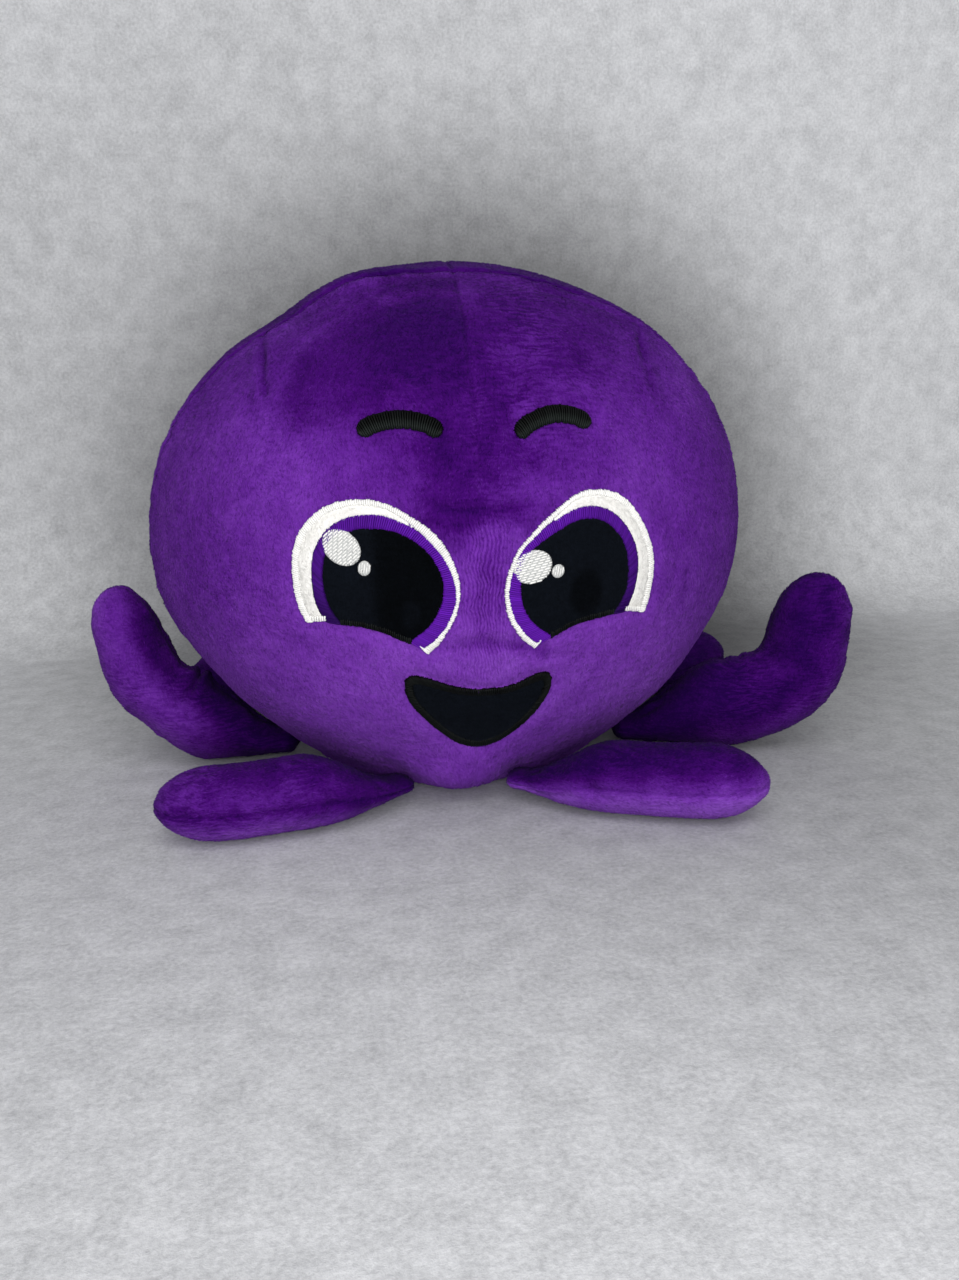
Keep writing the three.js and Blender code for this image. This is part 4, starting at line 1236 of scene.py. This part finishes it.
def buildEye(side):
    eye, node, whole = eyes[side], f"eye_{side}", 160
    outer, ringOuter, pupilEdge = (curvePoints(eye[line], whole) for line in ("whiteOuter", "ringOuter", "pupilEdge"))
    # white satin: a narrow edge round the crescent, which takes its whole width on the nose side
    inwards = ringOuter - outer
    width = np.linalg.norm(inwards, axis=1, keepdims=True)
    narrow = outer + inwards * np.minimum(1, 2.5 / np.maximum(width, 0.1))
    takeOver = smoothStep(0.5, 0.62, np.linspace(0, 1, whole))[:, None]
    inner = narrow * (1 - takeOver) + ringOuter * takeOver
    white = {**satin, "shade": 0.93, "vary": 0.06}
    foot, hook = curvePoints([outer[0], ringOuter[0]], 20), curvePoints([outer[-1], ringOuter[-1]], 8)
    parts = satinBand(outer, inner, {**white, "seed": 71})
    parts += satinBand(foot, foot + (0, 2.2), {**white, "seed": 72})
    parts += satinBand(hook, hook + (-1.2 if side == "left" else 1.2, 1.8), {**white, "seed": 70})
    threadPiece(f"{side}EyeWhiteSatin", parts, whiteThread, [f"{node}_crescent_border"])
    start, last = 1, 96  # the crescent's ends among the points of the edges
    under = ringOuter + unit(pupilEdge - ringOuter) * 0.7
    cream = np.concatenate([(inner - unit(inwards) * 0.8)[start:last], under[start:last][::-1]])
    liftedPatch(f"{side}EyeCreamPlush", cream, {**patchPile, "count": 2600, "seed": 73}, creamPlush,
                [f"{node}_crescent_patch"], lambda x, z: 0.6 - 0.25 * smoothStep(104, 98, z))
    # the purple satin is painted darker towards the ring's outer lower end, as shade and the satin's sheen turning away
    parts = satinBand(ringOuter, pupilEdge, {**satin, "seed": 75, "height": 0.5, "vary": 0.07,
                                             "shade": [0.05, 0.3, 0.5, 0.68, 0.75, 0.8, 0.8]})
    threadPiece(f"{side}EyePurpleSatin", parts, purpleThread, [f"{node}_iris_ring"])
    bottom = curvePoints([pupilEdge[0], *eye["lid"][3:8], pupilEdge[-1]], 40)
    black = np.concatenate([pupilEdge + unit(ringOuter - pupilEdge) * 0.8, (bottom - (0, 0.6))[::-1][1:-1]])
    liftedPatch(f"{side}EyeBlackPlush", black, {**patchPile, "count": 8500, "seed": 77}, blackPlush,
                [f"{node}_pupil_patch"], eye["pupilTone"])
    # the lid's black satin is painted lighter towards its ends, as sheen
    parts = satinBand(bottom - (0, 0.4), bottom + (0, 2.0),
                      {**satin, "seed": 79, "height": 0.5, "shade": [0.5, 0.2, 0.1, 0.2, 0.3]})
    threadPiece(f"{side}EyeLidSatin", parts, blackThread, [f"{node}_lid_stitching"])
    for size, changes in (("large", {}), ("small", {"stitch": 5.5, "endShade": -0.1, "shade": 0.8})):
        x, z, halfX, halfZ, slant = eye[size]
        oval = np.array((x, z)), np.array((halfX, halfZ)), slant
        base = ovalBase(*oval, highlight["level"] - 0.05)
        strands = highlightStitches(*oval, eye["rows"] if size == "large" else 80, {**highlight, **changes})
        threadPiece(f"{side}Eye{size.capitalize()}Highlight", [strands, (*base, 0.32)], whiteThread,
                    [f"{node}_{size}_highlight"])


def buildBrow(side):
    ends = np.minimum(np.linspace(0, 1, 60), np.linspace(1, 0, 60)) * 30
    half = brows["halfThickness"] * np.sqrt(1 - (1 - np.clip(ends / 3.0, 0, 1)) ** 2)[:, None] + 0.3
    # the lower part of each strand painted lighter, as the satin's sheen
    parts = satinBand(*browEdges(side, 60, half), {**satin, "seed": 91, "height": 1.1, "shade": 0.1, "puff": 2.4,
                                                   "lowerSheen": 0.8})
    threadPiece(f"{side}BrowSatin", parts, blackThread, [f"eyebrow_{side}"])


def insetLoop(loop, depth):
    # the closed line moved inwards and smoothed, so that tight corners don't cross
    along = unit(np.roll(loop, -1, axis=0) - np.roll(loop, 1, axis=0))
    inwards = np.stack([along[:, 1], -along[:, 0]], axis=1)
    if not insideOutline(loop[:1] + inwards[:1] * 0.5, loop)[0]:
        inwards = -inwards
    moved = loop + inwards * depth
    for _ in range(int(6 + 2 * depth)):
        moved = (np.roll(moved, 1, axis=0) + 2 * moved + np.roll(moved, -1, axis=0)) / 4
    return moved


def buildMouth():
    edge, inner = (np.concatenate([loop, loop[:1]]) for loop in (mouthOutline, insetLoop(mouthOutline, mouth["border"])))
    parts = satinBand(edge, inner, {**satin, "seed": 95, "vary": 0.08,
                                    "shade": [0.2, 0.1, 0.1, 0.1, 0.2, 0.3, 0.35, 0.3, 0.2]})
    threadPiece("mouthSatin", parts, blackThread, ["mouth_border"])
    liftedPatch("mouthBlackPlush", insetLoop(mouthOutline, mouth["border"] - 1.0),
                {**patchPile, "count": 5200, "seed": 97}, blackPlush, ["mouth_patch"],
                lambda x, z: 0.62 + 0 * x)


for build in (buildEye, buildBrow):
    for side in ("left", "right"):
        build(side)
buildMouth()
print("face embroidered")


# Floor and backdrop: one sheet of pale fleece that curves up behind the toy. From behind, the camera looks
# through its back, and a second sheet carries the floor on. The places of painted shadow are in metres
backdrop = {
    "front": -2200, "back": 330, "bend": 100, "height": 900, "halfWidth": 2600, "beyond": 2600, "drop": -0.5,
    "colours": ["c4c5c7", "edeef0"], "from": 0.55, "roughness": 1.0, "gloss": 0.05, "bump": 0.35, "depth": 1.0,
    # the toy's shadow painted on the fleece: middle, distances where it begins to fade and ends, share of light kept
    "paintedShadow": [((0.056, 0.275, 0.067), 0.155, 0.388, 0.2), ((-0.125, 0.07, 0.165), 0.201, 0.605, 0.735),
             ((0.365, -0.037, -0.191), 0.258, 0.512, 0.696)],
}


def fleeceMaterial(settings):
    # brushed fleece: fine fuzz over faint larger blotches, with the toy's shadow painted darker in the bend behind it
    # and on the floor round it
    finish, add, place = openFinish("paleFleece")
    fuzz = add("TexNoise", {"Vector": place, "Scale": perMillimetre(2.2), "Detail": 4.0, "Roughness": 0.75})
    blotch = add("TexNoise", {"Vector": place, "Scale": perMillimetre(14), "Detail": 3.0, "Roughness": 0.6})
    both = add("Math", {0: blotch, 1: 0.6, 2: fuzz}, operation="MULTIPLY_ADD")
    paintedShadow = [(add("VectorMath", {0: place, 1: middle}, "Value", operation="DISTANCE"), *fade)
            for middle, *fade in settings["paintedShadow"]]
    shader = surface(add, both, both, {**settings, "paintedShadow": paintedShadow})
    behind, seen = add("NewGeometry", {}, "Backfacing"), add("LightPath", {}, "Is Camera Ray")
    clear = add("Math", {0: behind, 1: seen}, operation="MULTIPLY")
    add("OutputMaterial", {"Surface": add("MixShader", {0: clear, 1: shader, 2: add("BsdfTransparent", {})})})
    return finish


def addBackdrop(settings):
    bend, bendStart = settings["bend"], settings["back"] - settings["bend"]
    turns = np.radians(90 * np.arange(1, 16) / 15)
    curve = zip(bendStart + bend * np.sin(turns), bend * (1 - np.cos(turns)))
    wall = [(settings["front"], 0.0), (bendStart, 0.0), *curve, (settings["back"], settings["height"])]
    floor = [(bendStart, settings["drop"]), (settings["beyond"], settings["drop"])]
    finish = fleeceMaterial(settings)
    for name, line in (("fleeceBackdrop", wall), ("fleeceFloorBehind", floor)):
        points = [(side * settings["halfWidth"], y, z) for y, z in line for side in (-1, 1)]
        faces = [(2 * k, 2 * k + 1, 2 * k + 3, 2 * k + 2) for k in range(len(line) - 1)]
        newPiece(name, points, faces, finish=finish)


addBackdrop(backdrop)

# One wide soft light beside the camera, as from a window, and a weak one from above
lamps = {
    "window": {"place": (-0.08, -1.0, 0.30), "size": (0.8, 0.5), "power": 5.5},
    "ceiling": {"place": (0.0, -1.0, 1.6), "size": (1.4, 1.0), "power": 9},
}
room = {"colour": "e8e8ea", "strength": 0.5}


def addLamp(name, lamp):
    bpy.ops.object.light_add(type="AREA", location=lamp["place"])
    light = bpy.context.object
    light.name = name
    light.data.shape = "RECTANGLE"
    light.data.size, light.data.size_y = lamp["size"]
    light.data.energy = lamp["power"]
    light.rotation_mode = "QUATERNION"
    light.rotation_quaternion = (Vector((0, 0, 0.1)) - light.location).to_track_quat("-Z", "Y")


for lampName, lamp in lamps.items():
    addLamp(lampName, lamp)
scene.world = bpy.data.worlds.new("paleRoom")
scene.world.use_nodes = True
around = scene.world.node_tree.nodes["Background"].inputs
around["Color"].default_value, around["Strength"].default_value = hexColour(room["colour"]), room["strength"]
scene.view_settings.view_transform = "Standard"
print("stage set")
